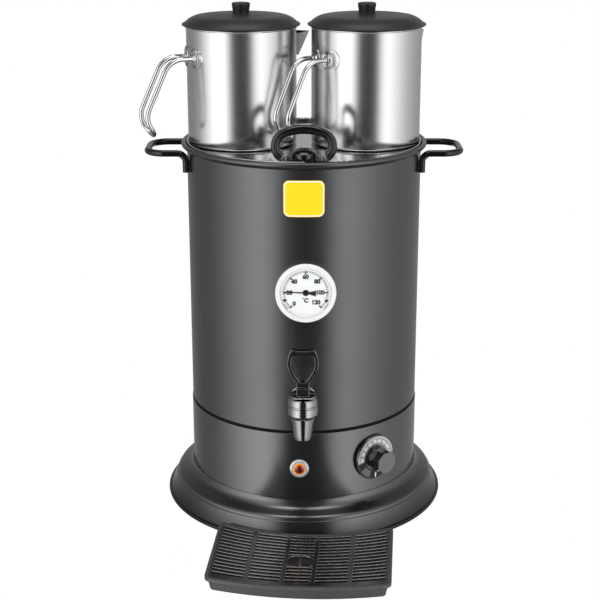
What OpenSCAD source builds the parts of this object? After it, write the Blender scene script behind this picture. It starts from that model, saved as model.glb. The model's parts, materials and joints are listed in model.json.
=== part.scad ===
// Electric hot water urn with two stacked serving jugs, a thermostat, a dial thermometer,
// a lever tap and a loose drip tray. Millimetres, +Z up, the urn's axis on Z, its front
// facing -Y, and z = 0 on the table. Angles named *_az turn from the front towards +X.

/* [Body] */
// Outer diameter of the painted jacket
body_d = 250; // [240:1:260]
// Thickness of the painted sheet
sheet = 1; // [0.8:0.1:1.4]
// Height of the lower housing's top edge above the table
housing_top = 114; // [108:1:124]
// How far the lower housing stands proud of the jacket
housing_step = 0.6; // [0.3:0.1:1]
// Height of the dark seam between the lower housing and the jacket
seam_h = 3.5; // [2:0.5:4]
// Height of the jacket from the seam to the ledge inside its rim
jacket_h = 280; // [260:1:310]
// Radius of the rolled bead round the rim
rim_bead_r = 2.6; // [2.2:0.1:3]
// Thickness of the rubber seam band
seam_band_t = 0.9; // [0.7:0.1:1.2]

/* [Skirt] */
// Radius of the skirt at its bottom bead
skirt_r = 155; // [150:1:160]
// Height of the lip where the skirt meets the housing
skirt_h = 39.7; // [38:0.1:42]
// Radius of the hollow below that lip
hollow_r = 11; // [9:0.5:12]
// Slope of the upper tier below the hollow
tier_slope = 19; // [16:1:22]
// Radius of the rounded shoulder at the tier's outer edge
shoulder_round = 6; // [5:0.5:7]
// Radius of the shoulder between the two tiers
shoulder_r = 143.5; // [141:0.5:146]
// Radius of the bead along the skirt's bottom edge
skirt_bead_r = 2.6; // [2:0.2:3]
// Gap between the skirt's bead and the table
skirt_lift = 0.8; // [0.5:0.1:1.5]

/* [Base] */
// Thickness of the bottom plate and its brackets
plate_t = 1.2; // [1:0.1:2]
// Height of the rubber foot ring
foot_h = 8; // [6:0.5:9]
// Width of the rubber foot ring
foot_w = 6; // [4:0.5:8]
// Number of brackets that hold the bottom plate
bracket_n = 4; // [3:1:6]
// Radial length of a bracket's foot
bracket_l = 20; // [18:1:26]
// Height of a bracket's leg
bracket_h = 17; // [14:1:22]
// Angle that a bracket spans
bracket_deg = 8; // [6:1:12]
// Diameter of the base screws
base_screw_d = 4; // [3:0.5:5]
// Number of vent holes in the bottom plate
vent_n = 12; // [8:1:16]
// Diameter of a vent hole
vent_d = 10; // [6:1:14]
// Radius of the ring of vent holes
vent_ring_r = 62; // [50:1:72]

/* [Tank] */
// Air gap between the jacket and the tank
tank_gap = 3; // [2.5:0.5:4]
// Thickness of the tank sheet
tank_t = 1; // [0.8:0.1:1.2]
// Height of the tank floor above the seam
tank_rise = 7.5; // [6:0.5:12]
// Radius of the tank's bottom corner
tank_corner_r = 8; // [6:1:12]
// Width of the ledge that carries the tank floor
ledge_w = 20; // [16:1:26]
// Height of the joint ring below the seam
joint_drop = 14; // [10:1:20]

/* [Lid] */
// Thickness of the lid sheet
lid_t = 0.8; // [0.6:0.1:1]
// Height of the lid's raised edge
lid_edge_h = 4; // [3:0.25:4.5]
// Depth of the locating ring under the lid
lid_plug_h = 7; // [5:0.5:10]
// Running clearance between parts that lift apart
lift_gap = 0.3; // [0.2:0.05:0.4]
// Distance of the lid handle from the urn's axis
lid_handle_y = 108; // [104:1:110]
// Height of the arch above the lid floor
arch_h = 38; // [34:1:44]
// Width over the widest part of the arch
arch_w = 66; // [60:1:70]
// Thickness of the arch, seen from the front
arch_t = 9; // [8:0.5:10]
// Depth of the arch, front to back
arch_depth = 11; // [9:0.5:13]
// Radius of the tight side bends of the arch
arch_side_r = 14; // [13:0.5:16]
// Length of the handle's base
arch_base_w = 50; // [46:1:54]
// Depth of the handle's base
arch_base_depth = 20; // [18:1:22]
// Height of the handle's base
arch_base_h = 3.5; // [3:0.5:5]
// Diameter of the boss in the middle of the base
boss_d = 25; // [20:1:27]
// Height of the boss above the lid floor
boss_h = 15; // [12:0.5:18]
// Distance between the two handle screws
lid_screw_pitch = 36; // [32:1:40]
// Diameter of the handle screws
lid_screw_d = 4; // [3:0.5:4.5]

/* [Side handles] */
// Diameter of the handle rod
rod_d = 7; // [6:0.5:8]
// Distance between the two bars of a handle
rod_pitch = 66; // [60:1:74]
// Distance of the outer bar from the urn's axis
rod_reach = 166; // [160:1:172]
// Height of the bars below the rim ledge
rod_drop = 4; // [3:0.5:8]
// Length of the legs that lie on the jacket
rod_leg = 20; // [16:1:26]
// Radius of the outer corners
rod_corner_r = 20; // [14:1:24]
// Radius of the bend from leg to bar
rod_bend_r = 9; // [8:1:12]

/* [Thermometer] */
// Height of the thermometer above the table
thermo_z = 270; // [220:1:300]
// Angle of the thermometer from the front
thermo_az = 0.8; // [0:0.1:3]
// Outer diameter of the thermometer's bezel
thermo_d = 62; // [56:1:66]
// How far the thermometer stands out of the jacket
thermo_depth = 7; // [6.5:0.25:9]
// Length of the probe, from the jacket inwards
probe_l = 60; // [50:1:80]
// Diameter of the probe
probe_d = 8; // [6:0.5:10]
// Diameter of the threaded neck behind the case
neck_d = 12; // [12:0.5:16]
// Length of the pointer from its pivot
pointer_l = 21; // [18:0.5:23]
// Angle of the pointer above level when the urn is cold
pointer_rest = 3.2; // [0:0.2:30]
// Diameter of the pointer's arbor
arbor_d = 2; // [1.6:0.1:2.4]

/* [Tap] */
// Distance of the spout from the urn's axis
tap_reach = 165; // [162:1:170]
// Angle of the tap from the front
tap_az = -0.35; // [-2:0.05:2]
// Height of the shank's axis above the table
shank_z = 156; // [152:1:162]
// Outer diameter of the shank
shank_d = 17; // [16:0.5:18]
// Bore of the shank
shank_bore = 8.5; // [7:0.5:9]
// Diameter of the flange against the jacket
flange_d = 27.4; // [26:0.2:30]
// Thickness of that flange
flange_t = 4; // [3:0.5:5]
// Length of the tapered spout below the valve body
spout_l = 25; // [22:0.5:28]
// Outer diameter of the spout's outlet
outlet_d = 17; // [15:0.5:17.5]
// Bore of the outlet
outlet_bore = 12; // [11:0.5:13]
// Outer diameter of the valve body
valve_d = 30.6; // [30:0.2:32]
// Inner diameter of the valve chamber
chamber_d = 21; // [20:0.5:22]
// Height of the valve body above the spout
valve_h = 11.5; // [11:0.5:13]
// Diameter of the knurled ring
knurl_d = 31.3; // [31:0.1:33]
// Height of the bonnet above the valve body
bonnet_h = 9; // [8:0.5:10]
// Thickness of the bonnet's top
bonnet_top_t = 2.5; // [2:0.25:3]
// Diameter of the valve stem
stem_d = 6; // [5:0.5:6]
// Radial running clearance of shafts in their bores
run_gap = 0.05; // [0.03:0.01:0.08]
// Height of the seat cup
cup_h = 10.5; // [9:0.5:11]

/* [Tap lever] */
// Diameter of the lever's base disc
lever_base_d = 27.2; // [26:0.2:28]
// Thickness of the base disc
lever_base_t = 3; // [2.5:0.25:3.5]
// Width of the lever's neck
lever_neck_w = 12.5; // [12:0.5:14]
// Height of the neck's top above the base
lever_neck_h = 15; // [13:0.5:17]
// Height of the lever above its base
lever_h = 51; // [48:1:56]
// Width over the lever's loop
lever_w = 31; // [29:0.5:34]
// Thickness of the loop's sides
lever_band_t = 3.4; // [3:0.2:4]
// Depth of the loop, front to back
lever_depth = 7; // [6:0.5:8]
// Width of the lever's top bar
lever_top_w = 22; // [20:0.5:24]
// Height of the lever's top bar
lever_top_h = 7; // [6:0.5:8]
// Distance from the stem to the edge that the lever rocks on
fulcrum_y = 9; // [8:0.25:9.5]
// Diameter of the lever's pin
pin_d = 3; // [2.5:0.1:3.2]
// Height of the pin above the bonnet
pin_h = 4.3; // [4:0.1:5]
// How far the lever tilts forwards
lever_tilt = 25; // [15:1:27]

/* [Thermostat] */
// Angle of the thermostat from the front
dial_az = 36.5; // [30:0.5:45]
// Height of the thermostat above the table
dial_z = 78; // [74:1:84]
// Diameter of the knob's numbered disc
dial_d = 50; // [44:1:54]
// Thickness of that disc
dial_t = 2.6; // [2.4:0.2:4]
// Width across the flats at the grip's foot
grip_foot_w = 24; // [23:0.5:29]
// Width across the flats at the grip's face
grip_face_w = 22.6; // [20:0.2:24]
// Height of the grip above the disc
grip_h = 19; // [16:0.5:22]
// Diameter of the thermostat's shaft
dial_shaft_d = 6; // [5:0.5:6]
// Width and height of the thermostat's case
stat_w = 34; // [30:1:38]
// Depth of the thermostat's case
stat_depth = 20; // [16:1:24]
// Diameter of the capillary tube
capillary_d = 2; // [1.6:0.2:3]
// Diameter of the sensor bulb
bulb_d = 6; // [5:0.5:7]
// Length of the sensor bulb
bulb_l = 60; // [50:1:80]

/* [Pilot lamp] */
// Angle of the pilot lamp from the front
pilot_az = -2.2; // [-6:0.1:0]
// Height of the pilot lamp above the table
pilot_z = 75; // [70:1:80]
// Diameter of the lamp's bezel
pilot_d = 20; // [18:0.5:24]
// Diameter of the lens
lens_d = 13.4; // [12:0.2:14]
// Depth of the lamp's body behind the wall
pilot_depth = 24; // [18:1:30]

/* [Heater] */
// Radius of the heating element's loop
element_r = 72; // [60:1:80]
// Diameter of the element
element_d = 8.5; // [7:0.5:10]
// Height of the loop above the tank floor
element_rise = 22; // [20:1:28]
// Distance between the element's two terminals
terminal_pitch = 28; // [26:1:36]
// Radius of the bends down to the terminals
element_bend_r = 12; // [10:1:14]
// Length of the terminals below the tank floor
terminal_l = 24; // [20:1:30]
// Diameter over the flats of the element's nuts
element_nut_w = 19; // [17:0.5:21]

/* [Jugs] */
// Outer diameter of a jug
jug_d = 115.5; // [112:0.5:118]
// Height of a jug
jug_h = 123; // [112:1:136]
// Gap between a jug's side and the rolled edge of the urn's lid
jug_edge_gap = 0.35; // [0.3:0.05:1]
// Thickness of the jug's sheet
jug_t = 0.8; // [0.6:0.1:1]
// Radius of the jug's bottom corner
jug_corner_r = 3; // [2:0.5:5]
// Radius of the bead round the jug's rim
jug_bead_r = 1.1; // [0.8:0.1:1.4]
// Distance of the spout's mouth below the jug's rim
beak_drop = 9; // [6:0.5:12]
// Height of the spout, from its mouth to where it leaves the wall
beak_h = 23; // [20:1:28]
// How far the spout stands out
beak_l = 20.5; // [15:0.5:22]
// Width of the spout at the wall
beak_w = 36; // [30:1:42]
// Angle of the left jug's handle, from the left towards the front
left_handle_az = 24; // [18:1:30]
// Angle of the right jug's handle, from the left towards the front
right_handle_az = 35.5; // [35.5:0.5:38]
// Diameter of the jug handle's rods
wire_d = 5; // [4.5:0.25:6]
// Distance between the two rods
wire_pitch = 22; // [20:0.5:24]
// Height of the rods' ends below the jug's rim
wire_drop = 30.5; // [28:0.5:34]
// How far the handle's bend stands from the jug's axis
wire_reach = 111; // [106:0.5:112]
// Height of the handle, from its ends to its loop
wire_h = 77.5; // [74:0.5:86]
// Width of the plate that carries the handle
wire_plate_w = 48; // [42:1:56]
// Height of that plate
wire_plate_h = 21; // [18:0.5:24]

/* [Jug lids] */
// Outer diameter of a jug's lid
jug_lid_d = 124; // [122:0.5:126]
// Height of the dome above the jug's rim
dome_h = 12.5; // [11.5:0.5:14]
// Radius of the dome's shoulder, near the rim
dome_shoulder_r = 24; // [20:1:26]
// Slope of the dome where it meets the rim
dome_slope = 50; // [46:1:54]
// Thickness of the lid's sheet
jug_lid_t = 1; // [0.8:0.1:1.2]
// Depth of the locating ring inside the jug
jug_plug_h = 8; // [6:0.5:12]
// Diameter of the knob's foot
knob_foot_d = 17; // [15:0.5:19]
// Diameter of the knob's top
knob_top_d = 19.4; // [17:0.2:22]
// Height of the knob
knob_h = 10.6; // [9:0.2:14]

/* [Badge] */
// Width of the blank badge plate
badge_w = 41; // [30:1:50]
// Height of the badge plate
badge_h = 37; // [30:1:44]
// Distance of the badge's middle below the lid's ledge
badge_drop = 31; // [25:0.5:50]
// Thickness of the badge plate
badge_t = 0.8; // [0.5:0.1:1.2]
// Radius of the badge's corners
badge_corner_r = 6; // [4:0.5:9]

/* [Drip tray] */
// Width of the tray over its flange
tray_w = 184.5; // [170:0.5:190]
// Height of the tray
tray_h = 15; // [13:0.5:17]
// Distance from the urn's axis to the middle of the tray's back edge
tray_back = 157.9; // [157:0.1:160]
// Distance from the urn's axis to the middle of the tray's front edge
tray_front = 271.2; // [260:0.5:280]
// Radius of the hollow back edge
tray_back_r = 190; // [186:1:200]
// Radius of the bowed front edge
tray_front_r = 335; // [300:1:360]
// Angle that the tray is turned from straight ahead
tray_turn = 4.4; // [0:0.1:6]
// Sideways offset of the tray from the urn's middle
tray_shift = 13; // [0:0.5:14]
// Width of the flange outside the tray's wall
flange_w = 3; // [2:0.25:4]
// Thickness of the flange
flange_h = 3.5; // [2.6:0.1:4]
// Inward slope of the wall from top to bottom
tray_draft = 2.5; // [1.5:0.25:3.5]
// Thickness of the tray's wall and floor
tray_t = 2; // [1.6:0.2:2.4]
// Radius of the tray's front corners
tray_corner_r = 10; // [9:0.5:12]

/* [Grille] */
// Thickness of the grille
grille_t = 2.4; // [2:0.1:2.6]
// Distance from one slat to the next
slat_pitch = 6.5; // [6:0.25:8]
// Width of one slat
slat_w = 2.8; // [2.4:0.2:3.4]
// Width of the bars between the columns
divider_w = 4.5; // [4:0.25:5.5]
// Distance of the inner dividers from the middle
inner_divider_x = 15; // [14:0.5:17]
// Distance of the outer dividers from the middle
outer_divider_x = 51; // [45:0.5:55]
// Width of the finger hole
finger_w = 26; // [24:0.5:27]
// Length of the finger hole
finger_l = 20; // [18:0.5:24]
// Distance of the finger hole from the urn's axis
finger_y = 216; // [205:1:225]

/* [Mains entry] */
// Height of the cable gland above the table
gland_z = 62; // [55:1:90]
// Bore of the cable gland
gland_bore = 8; // [6:0.5:9]
// Diameter of the gland's thread
gland_thread_d = 15; // [14:0.5:17]
// Width across the flats of the gland
gland_w = 20; // [19:0.5:24]
// Length of the gland outside the housing
gland_l = 18; // [14:1:24]

/* [Hidden] */
$fn = 96;
eps = 0.01;

body_r = body_d / 2;
housing_r = body_r + housing_step;
housing_in = housing_r - sheet;
jacket_in = body_r - sheet;
jacket_z = housing_top + seam_h;
ledge_z = jacket_z + jacket_h;
tank_r = jacket_in - tank_gap;
tank_in = tank_r - tank_t;
tank_z = jacket_z + tank_rise;
tank_floor = tank_z + tank_t;
seat_gap = 0.05;
weld_l = 0.6;
weld_t = 0.02;
rim_in = body_r + 0.8;
rim_r = rim_in + rim_bead_r;
rim_z = ledge_z + 3;

module shell(r, t, h) {
    difference() {
        cylinder(r = r, h = h);
        translate([0, 0, -eps]) cylinder(r = r - t, h = h + 2 * eps);
    }
}

module washer(r, bore, h) {
    difference() {
        cylinder(r = r, h = h);
        translate([0, 0, -eps]) cylinder(r = bore, h = h + 2 * eps);
    }
}

// Local frame on a round wall: x to the right, y up, z straight out of the wall
module on_wall(az, z, r) {
    rotate([0, 0, az]) translate([0, -r, z]) rotate([90, 0, 0]) children();
}

// The wall itself in that local frame, to cut a foot to its curve
module wall_solid(r, half) {
    translate([0, half, -r]) rotate([90, 0, 0]) cylinder(r = r, h = 2 * half, $fn = 720);
}

module stadium(w, h) {
    square([w - h, h], center = true);
    for (side = [-1, 1]) translate([side * (w - h) / 2, 0]) circle(d = h);
}

module rounded_rect(w, h, r) {
    square([w - 2 * r, h], center = true);
    square([w, h - 2 * r], center = true);
    for (sx = [-1, 1], sy = [-1, 1])
        translate([sx * (w / 2 - r), sy * (h / 2 - r)]) circle(r);
}

// A round bar that follows straight runs joined by bends of radius bend_r
function unit(v) = v / norm(v);
function turn_of(p, i) = acos(unit(p[i] - p[i - 1]) * unit(p[i + 1] - p[i]));
function trim_at(p, i, bend_r) =
    (i == 0 || i == len(p) - 1) ? 0 : bend_r[i] * tan(turn_of(p, i) / 2);

module bar_run(a, b, d) {
    v = b - a;
    translate(a)
        rotate([0, acos(v[2] / norm(v)), atan2(v[1], v[0])])
            cylinder(d = d, h = norm(v));
}

module bar_bend(p, i, bend_r, d) {
    u = unit(p[i] - p[i - 1]);
    w = unit(p[i + 1] - p[i]);
    inward = unit(w - (u * w) * u);
    up = cross(-inward, u);
    start = p[i] - u * trim_at(p, i, bend_r);
    centre = start + inward * bend_r[i];
    multmatrix([
        [-inward[0], u[0], up[0], centre[0]],
        [-inward[1], u[1], up[1], centre[1]],
        [-inward[2], u[2], up[2], centre[2]],
        [0, 0, 0, 1]
    ])
        rotate_extrude(angle = turn_of(p, i)) translate([bend_r[i], 0]) circle(d = d);
}

// Each weld is a collar a hair thicker than the bar, so that run and bend become one solid
module bar_weld(at, u, d) {
    bar_run(at - u * weld_l / 2, at + u * weld_l / 2, d + 2 * weld_t);
}

module bent_bar(p, bend_r, d) {
    for (i = [1 : len(p) - 1]) {
        u = unit(p[i] - p[i - 1]);
        bar_run(p[i - 1] + u * trim_at(p, i - 1, bend_r), p[i] - u * trim_at(p, i, bend_r), d);
    }
    for (i = [1 : len(p) - 2]) {
        bar_bend(p, i, bend_r, d);
        for (k = [i - 1, i]) {
            u = unit(p[k + 1] - p[k]);
            bar_weld(p[i] + u * trim_at(p, i, bend_r) * (k == i ? 1 : -1), u, d);
        }
    }
}

// Half of a pressed cup's outline, with a rounded bottom corner
module cup_outline(r, h, corner) {
    translate([0, corner]) square([r, h - corner]);
    square([r - corner, corner + eps]);
    intersection() {
        translate([r - corner, corner]) circle(corner);
        square([r, corner + eps]);
    }
}

module cup(r, h, corner, t) {
    rotate_extrude()
        difference() {
            cup_outline(r, h, corner);
            translate([0, t]) cup_outline(r - t, h, corner - t);
        }
}

// ---------- base ----------

foot_r = housing_in - 1;
plate_z = foot_h;
bracket_z = plate_z + plate_t;
bracket_in = housing_in - bracket_l;
base_screw_r = bracket_in + 7;
screw_head_h = base_screw_d * 0.55;

module foot_ring() {
    color("dimgray") shell(foot_r, foot_w, foot_h);
}

module bottom_plate() {
    color("lightgray") translate([0, 0, plate_z])
        difference() {
            cylinder(r = housing_in - seat_gap, h = plate_t);
            for (i = [0 : vent_n - 1])
                rotate([0, 0, i * 360 / vent_n]) translate([vent_ring_r, 0, -eps])
                    cylinder(d = vent_d, h = plate_t + 2 * eps);
            at_brackets() cylinder(d = base_screw_d + 0.4, h = plate_t + 2 * eps);
        }
}

module at_brackets() {
    for (i = [0 : bracket_n - 1])
        rotate([0, 0, (i + 0.5) * 360 / bracket_n]) translate([base_screw_r, 0, -eps]) children();
}

module base_brackets() {
    color("silver")
        difference() {
            for (i = [0 : bracket_n - 1])
                rotate([0, 0, (i + 0.5) * 360 / bracket_n - bracket_deg / 2])
                    rotate_extrude(angle = bracket_deg) {
                        translate([bracket_in, bracket_z])
                            square([bracket_l - seat_gap, plate_t]);
                        translate([housing_in - plate_t - seat_gap, bracket_z])
                            square([plate_t, bracket_h]);
                    }
            translate([0, 0, bracket_z]) at_brackets()
                cylinder(d = base_screw_d + 0.1, h = plate_t + 2 * eps);
        }
}

module base_screws() {
    color("silver") translate([0, 0, plate_z]) at_brackets() {
        translate([0, 0, eps - screw_head_h])
            difference() {
                cylinder(d = base_screw_d * 1.9, h = screw_head_h);
                translate([0, 0, -eps]) cylinder(d = base_screw_d * 0.7, h = screw_head_h / 2, $fn = 6);
            }
        cylinder(d = base_screw_d, h = 2 * plate_t + 5);
    }
}

// Outer outline of the skirt as rings of radius and height, from the bead to the collar
skirt_bead_z = skirt_lift + skirt_bead_r;
lip_r = housing_r + seat_gap + 0.4;
hollow_end = [lip_r + hollow_r * (1 - sin(tier_slope)), skirt_h - hollow_r * cos(tier_slope)];
shoulder_c = [
    shoulder_r + 0.8 - shoulder_round,
    hollow_end[1] - shoulder_round * cos(tier_slope)
        - tan(tier_slope) * (shoulder_r + 0.8 - shoulder_round * (1 - sin(tier_slope)) - hollow_end[0])
];
function skirt_face(t) = [
    shoulder_r + 1.6 + (skirt_r - skirt_bead_r - shoulder_r - 1.6) * pow(t, 1.25),
    shoulder_c[1] + 0.2 + (skirt_bead_z + 1.8 - shoulder_c[1]) * t
];
skirt_edge = concat(
    [for (i = [0 : 6]) skirt_face(1 - i / 6)],
    arc_points(shoulder_c, shoulder_round, 10, 90 - tier_slope, 8),
    arc_points([lip_r + hollow_r, skirt_h], hollow_r, 270 - tier_slope, 180, 10)
);

module base_skirt() {
    color("dimgray") rotate_extrude() {
        polygon(concat(
            skirt_edge,
            [for (i = [len(skirt_edge) - 1 : -1 : 0])
                [max(housing_r + seat_gap, skirt_edge[i][0] - sheet), skirt_edge[i][1] - sheet * 0.6]]
        ));
        translate([skirt_r - skirt_bead_r, skirt_bead_z]) circle(skirt_bead_r);
        translate([housing_r + seat_gap, skirt_h - 14]) square([sheet, 10]);
    }
}

module lower_housing() {
    color("dimgray") difference() {
        translate([0, 0, plate_z]) shell(housing_r, sheet, housing_top - plate_z);
        on_wall(pilot_az, pilot_z, housing_r) wall_hole(pilot_body_d + 0.4);
        on_wall(dial_az, dial_z, housing_r) wall_hole(stat_neck_d + 0.4);
        on_wall(180, gland_z, housing_r) wall_hole(gland_thread_d + 0.4);
    }
}

module wall_hole(d) {
    translate([0, 0, -12]) cylinder(d = d, h = 24);
}

module seam_band() {
    color("black") translate([0, 0, housing_top])
        shell(jacket_in - seat_gap + seam_band_t, seam_band_t, seam_h);
}

module joint_ring() {
    color("silver") {
        translate([0, 0, housing_top - joint_drop])
            shell(jacket_in - 2 * seat_gap, plate_t, joint_drop + tank_z - housing_top + 4);
        translate([0, 0, tank_z - plate_t])
            shell(jacket_in - plate_t / 2, ledge_w, plate_t);
    }
}

// ---------- jacket and tank ----------

module tank_jacket() {
    color("dimgray") difference() {
        rotate_extrude() {
            translate([jacket_in, jacket_z]) square([sheet, jacket_h]);
            polygon([
                [jacket_in, ledge_z - 1], [body_r, ledge_z - 2.2], [rim_r, ledge_z + 0.9],
                [rim_r, rim_z], [rim_in, rim_z], [rim_in - 0.2, ledge_z], [jacket_in, ledge_z]
            ]);
            translate([rim_r, rim_z]) circle(rim_bead_r);
        }
        on_wall(thermo_az, thermo_z, body_r) wall_hole(neck_d + 0.4);
        on_wall(tap_az, shank_z, body_r) wall_hole(shank_d + 0.4);
    }
}

module inner_tank() {
    color("lightgray") difference() {
        union() {
            translate([0, 0, tank_z]) cup(tank_r, ledge_z - tank_z + tank_t, tank_corner_r, tank_t);
            translate([0, 0, ledge_z]) shell(rim_in - 0.5, rim_in - 0.5 - tank_in, tank_t);
        }
        on_wall(thermo_az, thermo_z, body_r) wall_hole(neck_d + 0.4);
        on_wall(tap_az, shank_z, body_r) wall_hole(shank_d + 0.4);
        at_terminals() translate([0, 0, tank_z - 1]) cylinder(d = bush_d + 0.2, h = tank_t + 2);
    }
}

// ---------- heating element ----------

bush_d = element_d + 4.5;
bush_head_h = 4;
element_gasket_t = 1.5;
element_nut_h = 5;
element_z = tank_floor + element_rise;
terminal_x = terminal_pitch / 2;
terminal_r = norm([element_r, element_bend_r]);
terminal_y = sqrt(terminal_r * terminal_r - terminal_x * terminal_x);
element_gap_deg = asin(terminal_x / terminal_r) + atan2(element_bend_r, element_r);

module at_terminals() {
    for (side = [-1, 1]) translate([side * terminal_x, terminal_y, 0]) children();
}

module heating_element() {
    color("silver") {
        translate([0, 0, element_z]) rotate([0, 0, 90 + element_gap_deg])
            rotate_extrude(angle = 360 - 2 * element_gap_deg)
                translate([element_r, 0]) circle(d = element_d);
        for (side = [-1, 1]) {
            end_p = [side * element_r * sin(element_gap_deg), element_r * cos(element_gap_deg),
                     element_z];
            top_p = [side * terminal_x, terminal_y, element_z];
            foot_p = [side * terminal_x, terminal_y, tank_z - terminal_l];
            bent_bar([end_p, top_p, foot_p], [0, element_bend_r - weld_l, 0], element_d);
            bar_weld(end_p, unit(top_p - end_p), element_d);
        }
    }
}

module element_bushes() {
    color("goldenrod") at_terminals() translate([0, 0, tank_floor + element_gasket_t]) {
        washer(element_nut_w / 2, element_d / 2 + seat_gap, bush_head_h);
        translate([0, 0, -element_gasket_t - tank_t - element_nut_h - 2])
            washer(bush_d / 2, element_d / 2 + seat_gap,
                   element_gasket_t + tank_t + element_nut_h + 2 + eps);
    }
}

module element_gaskets() {
    color("firebrick") at_terminals() translate([0, 0, tank_floor])
        washer(element_nut_w / 2, bush_d / 2 + seat_gap, element_gasket_t);
}

module element_nuts() {
    color("goldenrod") at_terminals() translate([0, 0, tank_z - element_nut_h])
        difference() {
            cylinder(d = element_nut_w / cos(30), h = element_nut_h, $fn = 6);
            translate([0, 0, -eps]) cylinder(d = bush_d + 2 * seat_gap, h = element_nut_h + 2 * eps);
        }
}

cutout_pos = [-44, -20];
cutout_d = 18;
cutout_h = 9;

module thermal_cutout() {
    color("tan") translate([cutout_pos[0], cutout_pos[1], tank_z - cutout_h]) {
        cylinder(d = cutout_d, h = cutout_h);
        for (side = [-1, 1])
            translate([side * 4 - 0.4, -3, -8]) cube([0.8, 6, 8 + eps]);
    }
}

// ---------- thermostat ----------

stat_neck_d = 10;
stat_front = 3.6;
stat_r = housing_r - stat_front;
knob_lift = 0.7;
shaft_in = 10;

module thermostat_body() {
    color("white") on_wall(dial_az, dial_z, housing_r) difference() {
        union() {
            translate([0, 0, -stat_front - stat_depth]) linear_extrude(stat_depth)
                rounded_rect(stat_w, stat_w, 3);
            translate([0, 0, -stat_front - eps]) cylinder(d = stat_neck_d, h = stat_front + 0.3);
            intersection() {
                translate([0, 0, -stat_front - eps]) cylinder(d = stat_w - 6, h = stat_front);
                translate([0, 0, -sheet - seat_gap]) wall_solid(housing_in - seat_gap, stat_w);
            }
        }
        translate([0, 0, -stat_front - shaft_in]) cylinder(d = dial_shaft_d + 2 * run_gap, h = 30);
    }
}

module thermostat_shaft() {
    color("silver") on_wall(dial_az, dial_z, housing_r)
        translate([0, 0, -stat_front - shaft_in + lift_gap])
            cylinder(d = dial_shaft_d, h = stat_front + shaft_in + knob_lift + dial_t + grip_h - 6);
}

module thermostat_knob() {
    color("black") on_wall(dial_az, dial_z, housing_r) translate([0, 0, knob_lift]) difference() {
        union() {
            cylinder(d = dial_d, h = dial_t - 1);
            translate([0, 0, dial_t - 1 - eps]) cylinder(d1 = dial_d, d2 = dial_d - 1.6, h = 1);
            translate([0, 0, dial_t - 2 * eps]) rotate([0, 0, 22.5])
                cylinder(d1 = grip_foot_w / cos(22.5), d2 = grip_face_w / cos(22.5),
                         h = grip_h, $fn = 8);
        }
        translate([0, 0, -eps]) cylinder(d = dial_shaft_d + 0.04, h = dial_t + grip_h - 5);
        translate([0, 0, -eps]) cylinder(d = stat_neck_d + 4, h = 1.6);
    }
}

bulb_z = tank_z - bulb_d / 2 - seat_gap;
stat_top_r = housing_r - stat_front - stat_depth / 2;
bulb_start = [30, -52, bulb_z];
capillary_route = [
    bulb_start, [56, -52, bulb_z], [66, -60, bulb_z - 12],
    [stat_top_r * sin(dial_az), -stat_top_r * cos(dial_az), 104],
    [stat_top_r * sin(dial_az), -stat_top_r * cos(dial_az), dial_z + stat_w / 2 + eps]
];

module sensor_bulb() {
    color("goldenrod") translate(bulb_start) rotate([0, -90, 0]) cylinder(d = bulb_d, h = bulb_l);
}

module capillary_tube() {
    color("goldenrod") bent_bar(capillary_route, [0, 8, 6, 5, 0], capillary_d);
}

// ---------- mains entry ----------

block_pos = [-46, 40];
block_ways = 4;
block_pitch = 12;
block_h = 18;

module terminal_block() {
    color("ivory") translate([block_pos[0], block_pos[1], bracket_z]) difference() {
        translate([0, -8, 0]) cube([block_ways * block_pitch, 16, block_h]);
        for (i = [0 : block_ways - 1]) translate([(i + 0.5) * block_pitch, 0, 0]) {
            translate([0, 9, block_h / 2]) rotate([90, 0, 0]) cylinder(d = 5, h = 18);
            translate([0, 0, block_h / 2]) cylinder(d = 4, h = block_h);
        }
        for (i = [1 : block_ways - 1])
            translate([i * block_pitch - 0.75, -9, block_h - 4]) cube([1.5, 18, 5]);
    }
}

module cable_gland() {
    color("black") on_wall(180, gland_z, housing_r) difference() {
        union() {
            translate([0, 0, -14]) cylinder(d = gland_thread_d, h = 14 + gland_l / 2);
            translate([0, 0, seat_gap])
                cylinder(d = gland_w / cos(30), h = gland_l * 0.35, $fn = 6);
            translate([0, 0, gland_l * 0.35]) rotate_extrude() {
                square([gland_w / 2 - 0.5, gland_l * 0.4]);
                translate([0, gland_l * 0.4]) polygon([
                    [0, 0], [gland_w / 2 - 0.5, 0], [gland_w / 2 - 3.5, gland_l * 0.25],
                    [0, gland_l * 0.25]
                ]);
            }
        }
        translate([0, 0, -15]) cylinder(d = gland_bore, h = gland_l + 20);
    }
}

module gland_nut() {
    color("black") on_wall(180, gland_z, housing_r) translate([0, 0, -sheet - 0.5 - 5])
        difference() {
            cylinder(d = gland_w / cos(30), h = 5, $fn = 6);
            translate([0, 0, -eps]) cylinder(d = gland_thread_d + 0.1, h = 5 + 2 * eps);
        }
}

// ---------- pilot lamp ----------

pilot_body_d = lens_d + 1;
bezel_h = 2.6;

module pilot_bezel() {
    color("silver") on_wall(pilot_az, pilot_z, housing_r) difference() {
        translate([0, 0, -1]) rotate_extrude() {
            square([pilot_d / 2, bezel_h]);
            translate([0, bezel_h]) polygon([
                [0, 0], [pilot_d / 2, 0], [pilot_d / 2 - 0.5, 0.7],
                [pilot_d / 2 - 1.4, 1], [0, 1]
            ]);
        }
        wall_solid(housing_r + seat_gap, pilot_d);
        translate([0, 0, -2]) cylinder(d = pilot_body_d + 0.1, h = bezel_h + 4);
    }
}

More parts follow.
